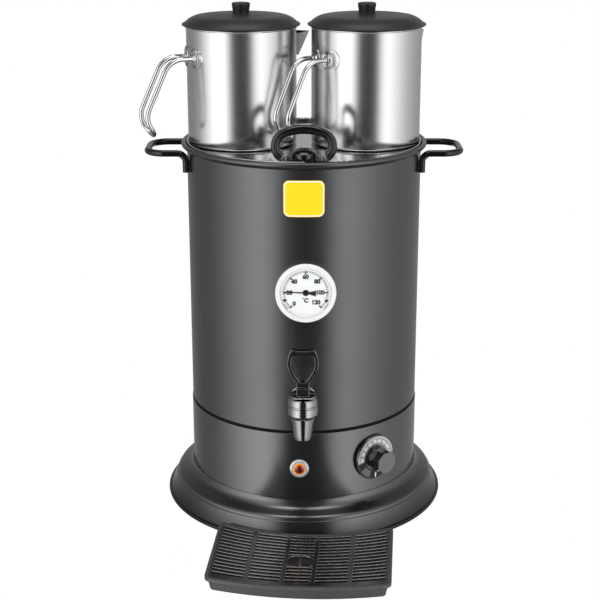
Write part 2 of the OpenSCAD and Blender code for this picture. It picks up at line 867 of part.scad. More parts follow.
module pilot_body() {
    color("white") on_wall(pilot_az, pilot_z, housing_r) {
        difference() {
            translate([0, 0, -pilot_depth]) cylinder(d = pilot_body_d, h = pilot_depth + 2);
            translate([0, 0, -6]) cylinder(d = lens_d, h = 10);
        }
        translate([0, 0, -sheet - 4.3]) washer(pilot_d / 2, pilot_body_d / 2 - 0.5, 4);
        for (side = [-1, 1])
            translate([side * 3 - 0.4, -3, -pilot_depth - 8]) cube([0.8, 6, 8 + eps]);
    }
}

module pilot_lens() {
    dome_r = 9;
    color("orangered") on_wall(pilot_az, pilot_z, housing_r) {
        translate([0, 0, -6]) cylinder(d = lens_d - 0.1, h = 8.6);
        intersection() {
            translate([0, 0, 4.6 - dome_r]) sphere(dome_r);
            translate([0, 0, 2.6 - eps]) cylinder(d = lens_d - 0.1, h = 3);
        }
    }
}

// ---------- thermometer ----------

case_r = thermo_d / 2 - 0.8;
dial_plate_z = thermo_depth - 3.6;
glass_z = thermo_depth - 1.5;
pointer_z = thermo_depth - 2.55;
pointer_t = 0.5;

module thermometer_case() {
    color("black") on_wall(thermo_az, thermo_z, body_r) difference() {
        translate([0, 0, -5]) cylinder(r = case_r, h = 5 + thermo_depth - 1.6);
        wall_solid(body_r + seat_gap, thermo_d);
        translate([0, 0, 1.6]) cylinder(r = case_r - 1.2, h = thermo_depth);
        translate([0, 0, -6]) cylinder(d = neck_d + 2 * seat_gap, h = 10);
    }
}

module thermometer_bezel() {
    color("whitesmoke") on_wall(thermo_az, thermo_z, body_r) rotate_extrude() difference() {
        union() {
            translate([case_r - 3.2, thermo_depth - 1.6 + seat_gap])
                square([thermo_d / 2 - case_r + 2.2, 1.4]);
            translate([thermo_d / 2 - 1.5, thermo_depth - 1.4]) circle(1.5);
            translate([case_r - 3.2, thermo_depth - 0.8]) circle(0.8);
        }
        translate([0, thermo_depth - 3.4]) square([case_r + seat_gap, 1.8 + seat_gap]);
        translate([case_r - 4.2, thermo_depth - 1.6]) square([2.2, 1.05]);
    }
}

module thermometer_dial() {
    color("white") on_wall(thermo_az, thermo_z, body_r) translate([0, 0, dial_plate_z - 0.6])
        washer(case_r - 1.3, arbor_d / 2 + 0.5, 0.6);
}

module thermometer_glass() {
    color("lightcyan", 0.3) on_wall(thermo_az, thermo_z, body_r) translate([0, 0, glass_z - 0.05])
        cylinder(r = case_r - 2.2, h = 0.9);
}

module thermometer_probe() {
    color("silver") on_wall(thermo_az, thermo_z, body_r) difference() {
        union() {
            translate([0, 0, -14]) cylinder(d = neck_d, h = 14 + dial_plate_z - 0.65);
            translate([0, 0, -probe_l]) cylinder(d = probe_d, h = probe_l);
            translate([0, 0, -probe_l]) sphere(d = probe_d);
        }
        translate([0, 0, dial_plate_z - 6]) cylinder(d = arbor_d + 2 * run_gap, h = 10);
    }
}

module thermometer_nut() {
    color("silver") on_wall(thermo_az, thermo_z, body_r)
        translate([0, 0, -(body_r - tank_in) - 0.5 - 5]) difference() {
            cylinder(d = (neck_d + 6) / cos(30), h = 5, $fn = 6);
            translate([0, 0, -eps]) cylinder(d = neck_d + 0.1, h = 5 + 2 * eps);
        }
}

module thermometer_pointer() {
    color("black") on_wall(thermo_az, thermo_z, body_r) {
        translate([0, 0, dial_plate_z - 4.5]) cylinder(d = arbor_d, h = 4.5 + pointer_z - dial_plate_z + eps);
        translate([0, 0, pointer_z]) rotate([0, 0, -pointer_rest]) {
            cylinder(d = 6.4, h = pointer_t);
            linear_extrude(pointer_t) polygon([
                [-pointer_l, 0.35], [-pointer_l, -0.35], [-2.5, -0.7], [3, -0.9],
                [10.4, -3.1], [10.4, 3.1], [3, 0.9], [-2.5, 0.7]
            ]);
        }
    }
}

// Rings that hold the jacket and the tank apart where a fitting passes both
module wall_spacers() {
    color("firebrick") for (fitting = [[thermo_az, thermo_z, neck_d], [tap_az, shank_z, shank_d]])
        rotate([0, 0, fitting[0]]) intersection() {
            difference() {
                cylinder(r = jacket_in - seat_gap, h = ledge_z);
                translate([0, 0, -1]) cylinder(r = tank_r + seat_gap, h = ledge_z + 2);
            }
            translate([0, -tank_in, fitting[1]]) rotate([90, 0, 0])
                washer(fitting[2] / 2 + 5, fitting[2] / 2 + 0.2, 12);
        }
}

// ---------- tap ----------

valve_z = shank_z - 5;
spout_z = valve_z - spout_l;
valve_top = valve_z + valve_h;
bonnet_z = valve_top + bonnet_h;
seat_z = valve_z - 2.5;
tap_neck_d = 2 * (valve_top - shank_z) - 0.6;
shank_in = tank_in - 11;
thread_r = valve_d / 2 - 2.8;

module at_tap() {
    rotate([0, 0, tap_az]) translate([0, -tap_reach, 0]) children();
}

module tap_body() {
    color("silver") rotate([0, 0, tap_az]) difference() {
        union() {
            translate([0, -tap_reach, 0]) rotate_extrude() polygon([
                [0, spout_z], [outlet_d / 2 - 0.6, spout_z], [outlet_d / 2, spout_z + 0.8],
                [outlet_d / 2 + 0.6, spout_z + 4],
                [outlet_d / 2 + 3.4, valve_z - 1.2], [valve_d / 2 - 2.4, valve_z + 0.6],
                [valve_d / 2 - 0.6, valve_z + 1.8], [valve_d / 2, valve_z + 3.4],
                [valve_d / 2, valve_top - 0.4], [valve_d / 2 - 0.4, valve_top],
                [thread_r, valve_top], [thread_r, bonnet_z - bonnet_top_t - 0.8],
                [0, bonnet_z - bonnet_top_t - 0.8]
            ]);
            translate([0, -shank_in, shank_z]) rotate([90, 0, 0]) {
                cylinder(d = shank_d, h = body_r + gasket_t + 2 - shank_in);
                cylinder(d = tap_neck_d, h = tap_reach - shank_in - 4);
            }
            translate([0, -body_r - gasket_t - seat_gap, shank_z]) rotate([90, 0, 0])
                rotate_extrude() polygon([
                    [0, 0], [flange_d / 2, 0], [flange_d / 2, flange_t - 1.5],
                    [flange_d / 2 - 1, flange_t - 0.5], [shank_d / 2 + 1, flange_t],
                    [0, flange_t]
                ]);
        }
        translate([0, -tap_reach, 0]) {
            translate([0, 0, spout_z - 1]) cylinder(d = outlet_bore, h = spout_l + 4);
            translate([0, 0, seat_z]) cylinder(d = chamber_d, h = valve_h + bonnet_h);
        }
        translate([0, -shank_in + 1, shank_z]) rotate([90, 0, 0])
            cylinder(d = shank_bore, h = tap_reach - shank_in);
    }
}

gasket_t = 1.5;

module tap_gaskets() {
    color("firebrick") on_wall(tap_az, shank_z, body_r) {
        difference() {
            translate([0, 0, -1]) washer(flange_d / 2 - 0.5, shank_d / 2 + 0.1, gasket_t + 1);
            wall_solid(body_r + seat_gap, flange_d);
        }
        translate([0, 0, -(body_r - tank_in) - 2.4]) washer(flange_d / 2, shank_d / 2 + 0.1, 1.5);
    }
}

module tap_nut() {
    color("silver") on_wall(tap_az, shank_z, body_r)
        translate([0, 0, -(body_r - tank_in) - 2.4 - 5]) difference() {
            cylinder(d = (flange_d - 2) / cos(30), h = 5, $fn = 6);
            translate([0, 0, -eps]) cylinder(d = shank_d + 0.1, h = 5 + 2 * eps);
        }
}

knurl_n = 48;

module tap_bonnet() {
    color("silver") at_tap() translate([0, 0, valve_top]) difference() {
        union() {
            rotate_extrude() polygon([
                [0, 0.1], [knurl_d / 2 - 0.6, 0.1], [knurl_d / 2 - 0.2, 0.5],
                [knurl_d / 2 - 0.2, 1.9], [knurl_d / 2 - 0.7, 2.5], [knurl_d / 2 - 1, 5.5],
                [knurl_d / 2 - 1.6, bonnet_h - 0.9], [knurl_d / 2 - 2.4, bonnet_h],
                [0, bonnet_h]
            ]);
            for (i = [0 : knurl_n - 1]) rotate([0, 0, i * 360 / knurl_n])
                translate([knurl_d / 2 - 0.5, -0.5, 0.5]) cube([0.5, 1, 1.4]);
        }
        translate([0, 0, -1]) cylinder(r = thread_r + seat_gap, h = bonnet_h - bonnet_top_t + 1);
        cylinder(d = stem_d + 2 * run_gap, h = bonnet_h + 1);
    }
}

blade_t = 3;
blade_front = 5.6;
blade_back = 3;
eye_front = 4.3;
eye_back = 1.7;
eye_half = pin_d / 2 + 0.3;
pin_z = bonnet_z + pin_h;
blade_top = pin_z + eye_half + 1.2;

module valve_stem() {
    color("silver") at_tap() {
        translate([0, 0, cup_z + 3]) cylinder(d = stem_d, h = bonnet_z + 1 - cup_z - 3);
        translate([0, 0, cup_z + cup_h]) cylinder(d = stem_d + 4, h = 1.2);
        difference() {
            translate([-blade_t / 2, -blade_front, bonnet_z + 0.5])
                cube([blade_t, blade_front + blade_back, blade_top - bonnet_z - 0.5]);
            translate([-blade_t, -eye_front + eye_half, pin_z - eye_half])
                cube([2 * blade_t, eye_front + eye_back - 2 * eye_half, 2 * eye_half]);
            for (y = [-eye_front + eye_half, eye_back - eye_half])
                translate([-blade_t, y, pin_z]) rotate([0, 90, 0])
                    cylinder(r = eye_half, h = 2 * blade_t);
        }
    }
}

cup_z = seat_z + lift_gap;

module seat_cup() {
    color("whitesmoke") at_tap() translate([0, 0, cup_z]) difference() {
        rotate_extrude() polygon([
            [0, 0], [chamber_d / 2 - 1.6, 0], [chamber_d / 2 - 1.2, 1], [chamber_d / 2 - 2, 5],
            [chamber_d / 2 - 4, cup_h - 1], [chamber_d / 2 - 4.6, cup_h], [0, cup_h]
        ]);
        translate([0, 0, 3 - seat_gap]) cylinder(d = stem_d + 2 * seat_gap, h = cup_h);
    }
}

// Side outline of the lever's loop: half width at a share of the height above the neck
lever_z = bonnet_z + lift_gap;
neck_top = lever_z + lever_neck_h;
lever_top = lever_z + lever_h;
function loop_half(t) =
    lever_neck_w / 2 - 1 + (lever_w / 2 - lever_neck_w / 2 + 1) * sin(min(1, t / 0.62) * 90)
    - (lever_w / 2 - lever_top_w / 2 - lever_band_t * 0.3) * pow(max(0, (t - 0.62) / 0.38), 1.8);
function loop_z(t) = neck_top + (lever_top - 1.5 - neck_top) * t;
loop_steps = 14;

module lever_loop_half() {
    polygon(concat(
        [for (i = [0 : loop_steps]) [loop_half(i / loop_steps), loop_z(i / loop_steps)]],
        [for (i = [loop_steps : -1 : 0])
            [max(0, loop_half(i / loop_steps) - lever_band_t), loop_z(i / loop_steps)]]
    ));
}

module tap_lever() {
    dish_r = 30;
    color("black") at_tap() difference() {
        union() {
            translate([0, 0, lever_z]) cylinder(d = lever_base_d, h = lever_base_t - 0.6);
            translate([0, 0, lever_z + lever_base_t - 0.6 - eps])
                cylinder(d1 = lever_base_d, d2 = lever_base_d - 1.6, h = 0.6);
            translate([-lever_neck_w / 2, -cavity_front - 1.6, lever_z + eps])
                cube([lever_neck_w, cavity_front + cavity_back + 3.2, lever_neck_h - 4]);
            translate([0, lever_depth / 2, 0]) rotate([90, 0, 0]) linear_extrude(lever_depth) {
                translate([-lever_neck_w / 2, lever_z + 1]) square([lever_neck_w, lever_neck_h]);
                lever_loop_half();
                mirror([1, 0]) lever_loop_half();
                difference() {
                    translate([-lever_top_w / 2, lever_top - lever_top_h])
                        square([lever_top_w, lever_top_h]);
                    translate([0, lever_top + dish_r - 2]) circle(dish_r);
                }
            }
        }
        translate([-blade_t / 2 - lift_gap, -cavity_front, lever_z - 1])
            cube([blade_t + 2 * lift_gap, cavity_front + cavity_back, cavity_top - lever_z + 1]);
        translate([-stem_d / 2 - 0.6, -stem_d / 2 - 0.6, lever_z - 1])
            cube([stem_d + 1.2, stem_d + 2.6, 1 + stem_room]);
        translate([-lever_neck_w, 0, pin_z]) rotate([0, 90, 0])
            cylinder(d = pin_d + 0.04, h = 2 * lever_neck_w);
        translate([-lever_base_d, -fulcrum_y, lever_z]) rotate([-lever_tilt - 2, 0, 0])
            translate([0, -lever_base_d, -lever_base_d]) cube([2 * lever_base_d, lever_base_d, lever_base_d]);
    }
}

stem_room = 3;
cavity_front = blade_front + 0.6;
cavity_back = blade_back + 3.9;
cavity_top = blade_top + 3;

module lever_pin() {
    color("silver") at_tap() translate([-lever_neck_w / 2, 0, pin_z]) rotate([0, 90, 0])
        cylinder(d = pin_d, h = lever_neck_w);
}

// ---------- side handles ----------

rod_r = body_r + rod_d / 2 + seat_gap;
leg_y = rod_pitch / 2;
leg_x = sqrt(rod_r * rod_r - leg_y * leg_y);
bar_z = ledge_z - rod_drop;

module side_handle(side) {
    color("black") bent_bar(
        [
            [side * leg_x, -leg_y, bar_z - rod_leg], [side * leg_x, -leg_y, bar_z],
            [side * rod_reach, -leg_y, bar_z], [side * rod_reach, leg_y, bar_z],
            [side * leg_x, leg_y, bar_z], [side * leg_x, leg_y, bar_z - rod_leg]
        ],
        [0, rod_bend_r, rod_corner_r, rod_corner_r, rod_bend_r, 0], rod_d
    );
}

module side_handle_left() side_handle(-1);
module side_handle_right() side_handle(1);

// ---------- badge ----------

module badge_plate() {
    color("gold") intersection() {
        translate([0, 0, ledge_z - badge_drop - badge_h])
            shell(body_r + seat_gap + badge_t, badge_t, 2 * badge_h);
        translate([0, 0, ledge_z - badge_drop]) rotate([90, 0, 0]) linear_extrude(2 * body_r)
            rounded_rect(badge_w, badge_h, badge_corner_r);
    }
}

// ---------- urn lid ----------

lid_z = ledge_z + tank_t + lift_gap;
lid_floor = lid_z + lid_t;
lid_r = rim_in - 0.5;
lid_bead_r = 0.8;

module urn_lid() {
    color("gainsboro") difference() {
        rotate_extrude() {
            translate([0, lid_z]) square([lid_r, lid_t]);
            translate([lid_r - lid_t, lid_z]) square([lid_t, lid_edge_h + lid_t - lid_bead_r]);
            translate([lid_r - lid_bead_r, lid_floor + lid_edge_h - lid_bead_r]) circle(lid_bead_r);
            translate([tank_in - 0.8 - lid_t, lid_z - lid_plug_h]) square([lid_t, lid_plug_h + eps]);
        }
        at_lid_screws() translate([0, 0, lid_z - 1]) cylinder(d = lid_screw_d + 0.2, h = lid_t + 2);
    }
}

module at_lid_screws() {
    for (side = [-1, 1]) translate([side * lid_screw_pitch / 2, -lid_handle_y, 0]) children();
}

// Centre line of the arch: a wide top arc that runs into two tight side arcs
side_cx = arch_w / 2 - arch_t / 2 - arch_side_r;
side_cz = arch_h * 0.44;
top_z = arch_h - arch_t / 2;
top_reach = top_z - side_cz - arch_side_r;
top_drop = (top_reach * top_reach - side_cx * side_cx) / (2 * top_reach);
top_r = top_z - side_cz - top_drop;
top_half = atan2(side_cx, -top_drop);
arch_end = -52;

module arch_arc(r, a0, a1) {
    rotate([90, 0, 0]) rotate([0, 0, a0]) rotate_extrude(angle = a1 - a0)
        translate([r, 0]) arch_section();
}

module arch_outline(grow) {
    rounded_rect(arch_t + 2 * grow, arch_depth + 2 * grow, arch_t / 2 - 1 + grow);
}

// A shallow groove runs along the front and the back of the arch
module arch_section() {
    difference() {
        arch_outline(0);
        for (side = [-1, 1]) translate([0, side * (arch_depth / 2 + 0.35)]) circle(0.9);
    }
}

module lid_handle() {
    foot_angle = 90 - top_half;
    color("black") translate([0, -lid_handle_y, lid_floor + seat_gap]) difference() {
        union() {
            translate([0, 0, side_cz + top_drop]) arch_arc(top_r, foot_angle, 180 - foot_angle);
            for (side = [0, 1]) mirror([side, 0, 0]) translate([side_cx, 0, side_cz]) {
                arch_arc(arch_side_r, arch_end, foot_angle);
                rotate([0, -foot_angle, 0]) translate([arch_side_r, 0, 0])
                    linear_extrude(weld_l, center = true) arch_outline(weld_t);
            }
            linear_extrude(arch_base_h) stadium(arch_base_w, arch_base_depth);
            cylinder(d = boss_d, h = boss_h - 5);
            translate([0, 0, boss_h - 5 - eps]) intersection() {
                translate([0, 0, 5 - boss_r]) sphere(boss_r);
                cylinder(d = boss_d, h = 6);
            }
        }
        translate([0, 0, -10]) cube([2 * arch_w, 2 * arch_w, 20], center = true);
        translate([0, lid_handle_y, -lid_floor]) at_lid_screws()
            translate([0, 0, lid_z]) cylinder(d = lid_screw_d + 0.06, h = lid_t + arch_base_h + 3.5);
    }
}

boss_r = (boss_d * boss_d / 4 + 25) / 10;

module lid_handle_screws() {
    color("silver") at_lid_screws() {
        translate([0, 0, lid_z - 2.2]) cylinder(d = lid_screw_d * 1.9, h = 2.2);
        translate([0, 0, lid_z - eps]) cylinder(d = lid_screw_d, h = lid_t + arch_base_h + 3);
    }
}

// ---------- jugs ----------

jug_z = lid_floor + lift_gap;
jug_top = jug_z + jug_h;
jug_r = jug_d / 2;
jug_x = lid_r - 2 * lid_bead_r - jug_r - jug_edge_gap;
wire_z = jug_h - wire_drop;
wire_plate_t = 1;

// Local frame of a jug: handle towards -X, spout towards +X, z = 0 at its bottom
module at_jug(side) {
    translate([side * jug_x, 0, jug_z])
        rotate([0, 0, side < 0 ? left_handle_az : right_handle_az]) children();
}

mouth_z = jug_h - beak_drop;

module beak(w, l, h, grow) {
    intersection() {
        translate([0, 0, mouth_z - h]) linear_extrude(h + grow) polygon([
            [jug_r - 5, -w / 2 - 5 * w / 2 / l], [jug_r + l, 0], [jug_r - 5, w / 2 + 5 * w / 2 / l]
        ]);
        translate([jug_r - 0.6, 0, mouth_z - h]) rotate([0, 90 - atan2(h, l + 0.6), 0])
            translate([-4 * h, -2 * w, -eps]) cube([4 * h, 4 * w, 4 * h]);
    }
}

module jug_pot() {
    difference() {
        union() {
            cup(jug_r, jug_h - jug_bead_r, jug_corner_r, jug_t);
            rotate_extrude() translate([jug_r - jug_t / 2, jug_h - jug_bead_r]) circle(jug_bead_r);
            difference() {
                beak(beak_w, beak_l, beak_h, -0.2);
                translate([0, 0, jug_h / 2]) cylinder(r = jug_r - jug_t / 2, h = jug_h);
            }
        }
        beak(beak_w - 2.6 * jug_t, beak_l - 2 * jug_t, beak_h - 3 * jug_t, 1);
    }
}

module jug_plate() {
    difference() {
        intersection() {
            translate([0, 0, wire_z - wire_plate_h])
                shell(jug_r + seat_gap + wire_plate_t, wire_plate_t, 2 * wire_plate_h);
            translate([0, 0, wire_z]) rotate([90, 0, -90]) linear_extrude(2 * jug_r)
                stadium(wire_plate_w, wire_plate_h);
        }
        for (side = [-1, 1]) translate([0, side * wire_pitch / 2, wire_z]) rotate([0, -90, 0])
            cylinder(d = wire_d + 0.06, h = 2 * jug_r);
    }
}

module jug_handle() {
    half = wire_pitch / 2;
    seat = sqrt(jug_r * jug_r - pow(half - wire_d / 2, 2)) + seat_gap;
    out = wire_reach - 28;
    knee_z = wire_z - wire_h * 0.76;
    foot_x = wire_reach - 11;
    foot_z = wire_z - wire_h;
    bent_bar(
        [
            [-seat, -half, wire_z], [-out, -half, wire_z], [-wire_reach, -half, knee_z],
            [-foot_x, -half, foot_z], [-foot_x, half, foot_z],
            [-wire_reach, half, knee_z], [-out, half, wire_z], [-seat, half, wire_z]
        ],
        [0, 22, 20, half - 0.5, half - 0.5, 20, 22, 0], wire_d
    );
}

// Side outline of the dome: a wide crown that runs into a rounder shoulder
dome_foot = 2;
dome_base_r = jug_lid_d / 2 - 1;
dome_c = [dome_base_r - 1 - dome_shoulder_r * sin(dome_slope), 1.9 - dome_shoulder_r * cos(dome_slope)];
dome_drop = dome_h - dome_c[1];
crown_r = (dome_drop * dome_drop + dome_c[0] * dome_c[0] - dome_shoulder_r * dome_shoulder_r)
    / (2 * (dome_drop - dome_shoulder_r));
crown_end = asin(dome_c[0] / (crown_r - dome_shoulder_r));
function dome_line(inset) = concat(
    arc_points([0, dome_h - crown_r], crown_r - inset, 90, 90 - crown_end, 6),
    arc_points(dome_c, dome_shoulder_r - inset, 88 - crown_end, 90 - dome_slope, 20)
);

module jug_lid() {
    plug_r = jug_r - jug_t - jug_bead_r - 0.5;
    inside = dome_line(jug_lid_t);
    color("dimgray") translate([0, 0, jug_h + lift_gap]) difference() {
        rotate_extrude() polygon(concat(
            dome_line(0),
            arc_points([dome_base_r, dome_foot / 2], dome_foot / 2, 115, -90, 12),
            [[plug_r, 0], [plug_r, -jug_plug_h], [plug_r - jug_lid_t, -jug_plug_h],
             [plug_r - jug_lid_t, jug_lid_t], [dome_base_r - 2.4, jug_lid_t]],
            [for (i = [len(inside) - 1 : -1 : 0]) inside[i]]
        ));
        cylinder(d = stud_d + 0.1, h = 2 * dome_h);
    }
}

stud_d = 5;

module jug_knob() {
    color("black") translate([0, 0, jug_h + lift_gap + dome_h + seat_gap]) {
        rotate_extrude() polygon([
            [0, 0], [knob_foot_d / 2, 0], [knob_foot_d / 2, 1], [knob_top_d / 2, knob_h - 2],
            [knob_top_d / 2 - 0.3, knob_h - 0.8], [knob_top_d / 2 - 1.2, knob_h - 0.2],
            [knob_top_d / 2 - 2.2, knob_h], [0, knob_h]
        ]);
        translate([0, 0, -jug_lid_t - 1.7]) cylinder(d = stud_d, h = jug_lid_t + 1.7 + eps);
        translate([0, 0, -jug_lid_t - 1.7]) cylinder(d = stud_d + 4, h = 1.6);
    }
}

module jug_left_pot() color("gainsboro") at_jug(-1) jug_pot();
module jug_left_plate() color("silver") at_jug(-1) jug_plate();
module jug_left_handle() color("silver") at_jug(-1) jug_handle();
module jug_left_lid() at_jug(-1) jug_lid();
module jug_left_knob() at_jug(-1) jug_knob();
module jug_right_pot() color("gainsboro") at_jug(1) jug_pot();
module jug_right_plate() color("silver") at_jug(1) jug_plate();
module jug_right_handle() color("silver") at_jug(1) jug_handle();
module jug_right_lid() at_jug(1) jug_lid();
module jug_right_knob() at_jug(1) jug_knob();

// ---------- drip tray and grille ----------

// Local frame of the tray: straight ahead is -Y
module at_tray() {
    rotate([0, 0, -tray_turn]) translate([tray_shift, 0, 0]) children();
}

back_cy = tray_back_r - tray_back;
front_cy = tray_front_r - tray_front;
back_corner_r = 4.5;
inner_corner_r = 9;
arc_steps = 12;
corner_steps = 5;

// Points of an arc about c, from angle a0 to a1
function arc_points(c, r, a0, a1, steps) =
    [for (i = [0 : steps]) c + r * [cos(a0 + (a1 - a0) * i / steps), sin(a0 + (a1 - a0) * i / steps)]];

// The tray's outline seen from above, moved inwards by inset all round
function tray_outline(inset) =
    let (
        half = tray_w / 2 - inset,
        rf = tray_front_r - inset,
        rb = tray_back_r + inset,
        cf = max(tray_corner_r - inset, 1),
        cb = max((inset < flange_w / 2 ? back_corner_r : inner_corner_r) - inset, 1),
        fy = front_cy - sqrt(pow(rf - cf, 2) - pow(half - cf, 2)),
        by = back_cy - sqrt(pow(rb + cb, 2) - pow(half - cb, 2)),
        fa = atan2(fy - front_cy, half - cf),
        ba = atan2(by - back_cy, half - cb)
    )
    concat(
        arc_points([half - cb, by], cb, ba + 180, 0, corner_steps),
        arc_points([half - cf, fy], cf, 0, fa, corner_steps),
        arc_points([0, front_cy], rf, fa, -180 - fa, arc_steps),
        arc_points([cf - half, fy], cf, -180 - fa, -180, corner_steps),
        arc_points([cb - half, by], cb, 180, -ba, corner_steps),
        arc_points([0, back_cy], rb, -180 - ba, ba, arc_steps)
    );

// Triangles that close the outline: strips from the front arc to the back arc, a fan at each side
cap_c = corner_steps + 1;
cap_a = arc_steps + 1;
cap_back = 4 * cap_c + 2 * cap_a - 1;
cap_faces = concat(
    [for (j = [0 : arc_steps - 1]) [2 * cap_c + j, 2 * cap_c + j + 1, cap_back - j]],
    [for (j = [0 : arc_steps - 1]) [2 * cap_c + j + 1, cap_back - j - 1, cap_back - j]],
    [for (i = [1 : 2 * cap_c - 1]) [cap_back, i, i + 1]],
    [for (i = [2 * cap_c + cap_a - 1 : 4 * cap_c + cap_a - 2]) [4 * cap_c + cap_a, i, i + 1]]
);

// A closed skin through rings, each a tray outline at a height, with a flat cap at each end
module ring_loft(rings) {
    n = len(rings[0][0]);
    last = len(rings) - 1;
    polyhedron(
        points = [for (ring = rings, p = ring[0]) [p[0], p[1], ring[1]]],
        faces = concat(
            [for (f = cap_faces) [f[2], f[1], f[0]]],
            [for (k = [0 : last - 1], i = [0 : n - 1]) let (a = k * n + i, b = k * n + (i + 1) % n)
                [a, b, b + n]],
            [for (k = [0 : last - 1], i = [0 : n - 1]) let (a = k * n + i, b = k * n + (i + 1) % n)
                [a, b + n, a + n]],
            [for (f = cap_faces) [last * n + f[0], last * n + f[1], last * n + f[2]]]
        )
    );
}

tray_wall_in = flange_w + tray_t;
recess_in = flange_w + 0.8;
ledge_top = tray_h - grille_t - lift_gap - 0.4;
grille_z = ledge_top + lift_gap;
lip_h = 1.2;
lip_w = 1.5;
edge_break = 0.5;

module drip_tray() {
    color("black") at_tray() ring_loft([
        [tray_outline(flange_w + tray_draft + edge_break), 0],
        [tray_outline(flange_w + tray_draft), edge_break],
        [tray_outline(flange_w), tray_h - flange_h],
        [tray_outline(0), tray_h - flange_h],
        [tray_outline(0), tray_h - edge_break],
        [tray_outline(edge_break), tray_h],
        [tray_outline(recess_in), tray_h],
        [tray_outline(recess_in), ledge_top],
        [tray_outline(tray_wall_in + lip_w), ledge_top],
        [tray_outline(tray_wall_in + lip_w), ledge_top - lip_h],
        [tray_outline(tray_wall_in), ledge_top - lip_h],
        [tray_outline(tray_wall_in + tray_draft), tray_t]
    ]);
}

module grille_slots() {
    edge = recess_in + lift_gap;
    first = tray_back_r + edge + 2.4;
    last = tray_back_r + tray_front - tray_back - edge - 4.5;
    half = tray_w / 2 - edge - 2;
    intersection() {
        translate([0, back_cy]) for (r = [first : slat_pitch : last - slat_pitch + slat_w])
            difference() {
                circle(r + slat_pitch - slat_w);
                circle(r);
            }
        translate([0, -tray_front]) difference() {
            translate([-half, 0]) square([2 * half, tray_front]);
            for (side = [-1, 1], x = [inner_divider_x, outer_divider_x])
                translate([side * x - divider_w / 2, 0]) square([divider_w, tray_front]);
        }
    }
}

module drip_grille() {
    edge = recess_in + lift_gap;
    color("black") at_tray() translate([0, 0, grille_z]) {
        linear_extrude(grille_t) difference() {
            polygon(tray_outline(edge));
            grille_slots();
            translate([0, -finger_y]) rounded_rect(finger_w, finger_l, 8);
        }
        linear_extrude(grille_t) translate([0, -finger_y]) {
            square([2.4, finger_l + 2], center = true);
            difference() {
                rounded_rect(finger_w + 3, finger_l + 3, 9);
                rounded_rect(finger_w, finger_l, 8);
            }
        }
    }
}

foot_ring();
bottom_plate();
base_brackets();
base_screws();
base_skirt();
lower_housing();
seam_band();
joint_ring();
tank_jacket();
inner_tank();
heating_element();
element_bushes();
element_gaskets();
element_nuts();
thermal_cutout();
thermostat_body();
capillary_tube();
sensor_bulb();
terminal_block();
cable_gland();
gland_nut();
pilot_bezel();
pilot_lens();
pilot_body();
thermometer_case();
thermometer_bezel();
thermometer_dial();
thermometer_glass();
thermometer_probe();
thermometer_nut();
thermometer_pointer();
wall_spacers();
tap_body();
tap_bonnet();
tap_gaskets();
tap_nut();
valve_stem();
seat_cup();
tap_lever();
lever_pin();
thermostat_knob();
thermostat_shaft();
side_handle_left();
side_handle_right();
badge_plate();
urn_lid();
lid_handle();
lid_handle_screws();
jug_left_pot();
jug_left_plate();
jug_left_handle();
jug_left_lid();
jug_left_knob();
jug_right_pot();
jug_right_plate();
jug_right_handle();
jug_right_lid();
jug_right_knob();
drip_tray();
drip_grille();
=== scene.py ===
# %% [markdown]
# Hot water urn, dressed for a render. The urn is a grey powder-coated drum on a flared skirt.
# It has a lever tap, a dial thermometer, a thermostat knob and a pilot lamp, a loose drip tray in
# front, and two brushed steel jugs that stand on its lid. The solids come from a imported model, so
# this file gives them their finishes and adds the thin printed and welded detail.

# %% load the solids
import json
import math

import bmesh
import bpy
from mathutils import Matrix, Vector


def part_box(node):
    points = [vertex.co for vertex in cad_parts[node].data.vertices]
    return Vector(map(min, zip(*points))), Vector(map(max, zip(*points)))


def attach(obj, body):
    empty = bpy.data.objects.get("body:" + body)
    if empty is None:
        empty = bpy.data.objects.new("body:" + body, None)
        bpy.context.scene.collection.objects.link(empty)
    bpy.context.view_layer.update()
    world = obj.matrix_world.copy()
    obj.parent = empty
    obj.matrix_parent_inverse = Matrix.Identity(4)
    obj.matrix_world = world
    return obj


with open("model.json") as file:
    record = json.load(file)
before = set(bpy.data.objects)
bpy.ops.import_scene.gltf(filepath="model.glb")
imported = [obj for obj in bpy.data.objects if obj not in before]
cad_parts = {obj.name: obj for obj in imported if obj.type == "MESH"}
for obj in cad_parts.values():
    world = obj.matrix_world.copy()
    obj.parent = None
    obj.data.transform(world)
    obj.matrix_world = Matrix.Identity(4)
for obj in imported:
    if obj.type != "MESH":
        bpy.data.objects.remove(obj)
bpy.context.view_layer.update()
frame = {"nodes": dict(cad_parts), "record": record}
NODES = frame["nodes"]
MM = 0.001

# %% [markdown]
# The camera looks slightly down on the urn from straight ahead, as a catalogue picture does. A long
# lens keeps the drum's sides almost parallel. A wide lens from close by would make the skirt look
# far broader than the rim. The lens is shifted a little instead of turned, so the sides stay upright.

# %% camera
CAMERA_PLACE = (0.0, -1.4555, 0.6825)
TILT_DOWN = 17.57
LENS, SENSOR_WIDTH, SHIFT_SIDEWAYS = 82.47, 36.0, -0.00657

scene = bpy.context.scene
camera_data = bpy.data.cameras.new("camera")
camera = bpy.data.objects.new("camera", camera_data)
scene.collection.objects.link(camera)
camera.location = CAMERA_PLACE
camera.rotation_euler = (math.radians(90 - TILT_DOWN), 0.0, 0.0)
camera_data.sensor_width = SENSOR_WIDTH
camera_data.lens = LENS
camera_data.shift_x = SHIFT_SIDEWAYS
camera_data.clip_start, camera_data.clip_end = 0.05, 40.0
scene.camera = camera
scene.view_settings.view_transform = "Standard"
print("camera at", tuple(camera.location))


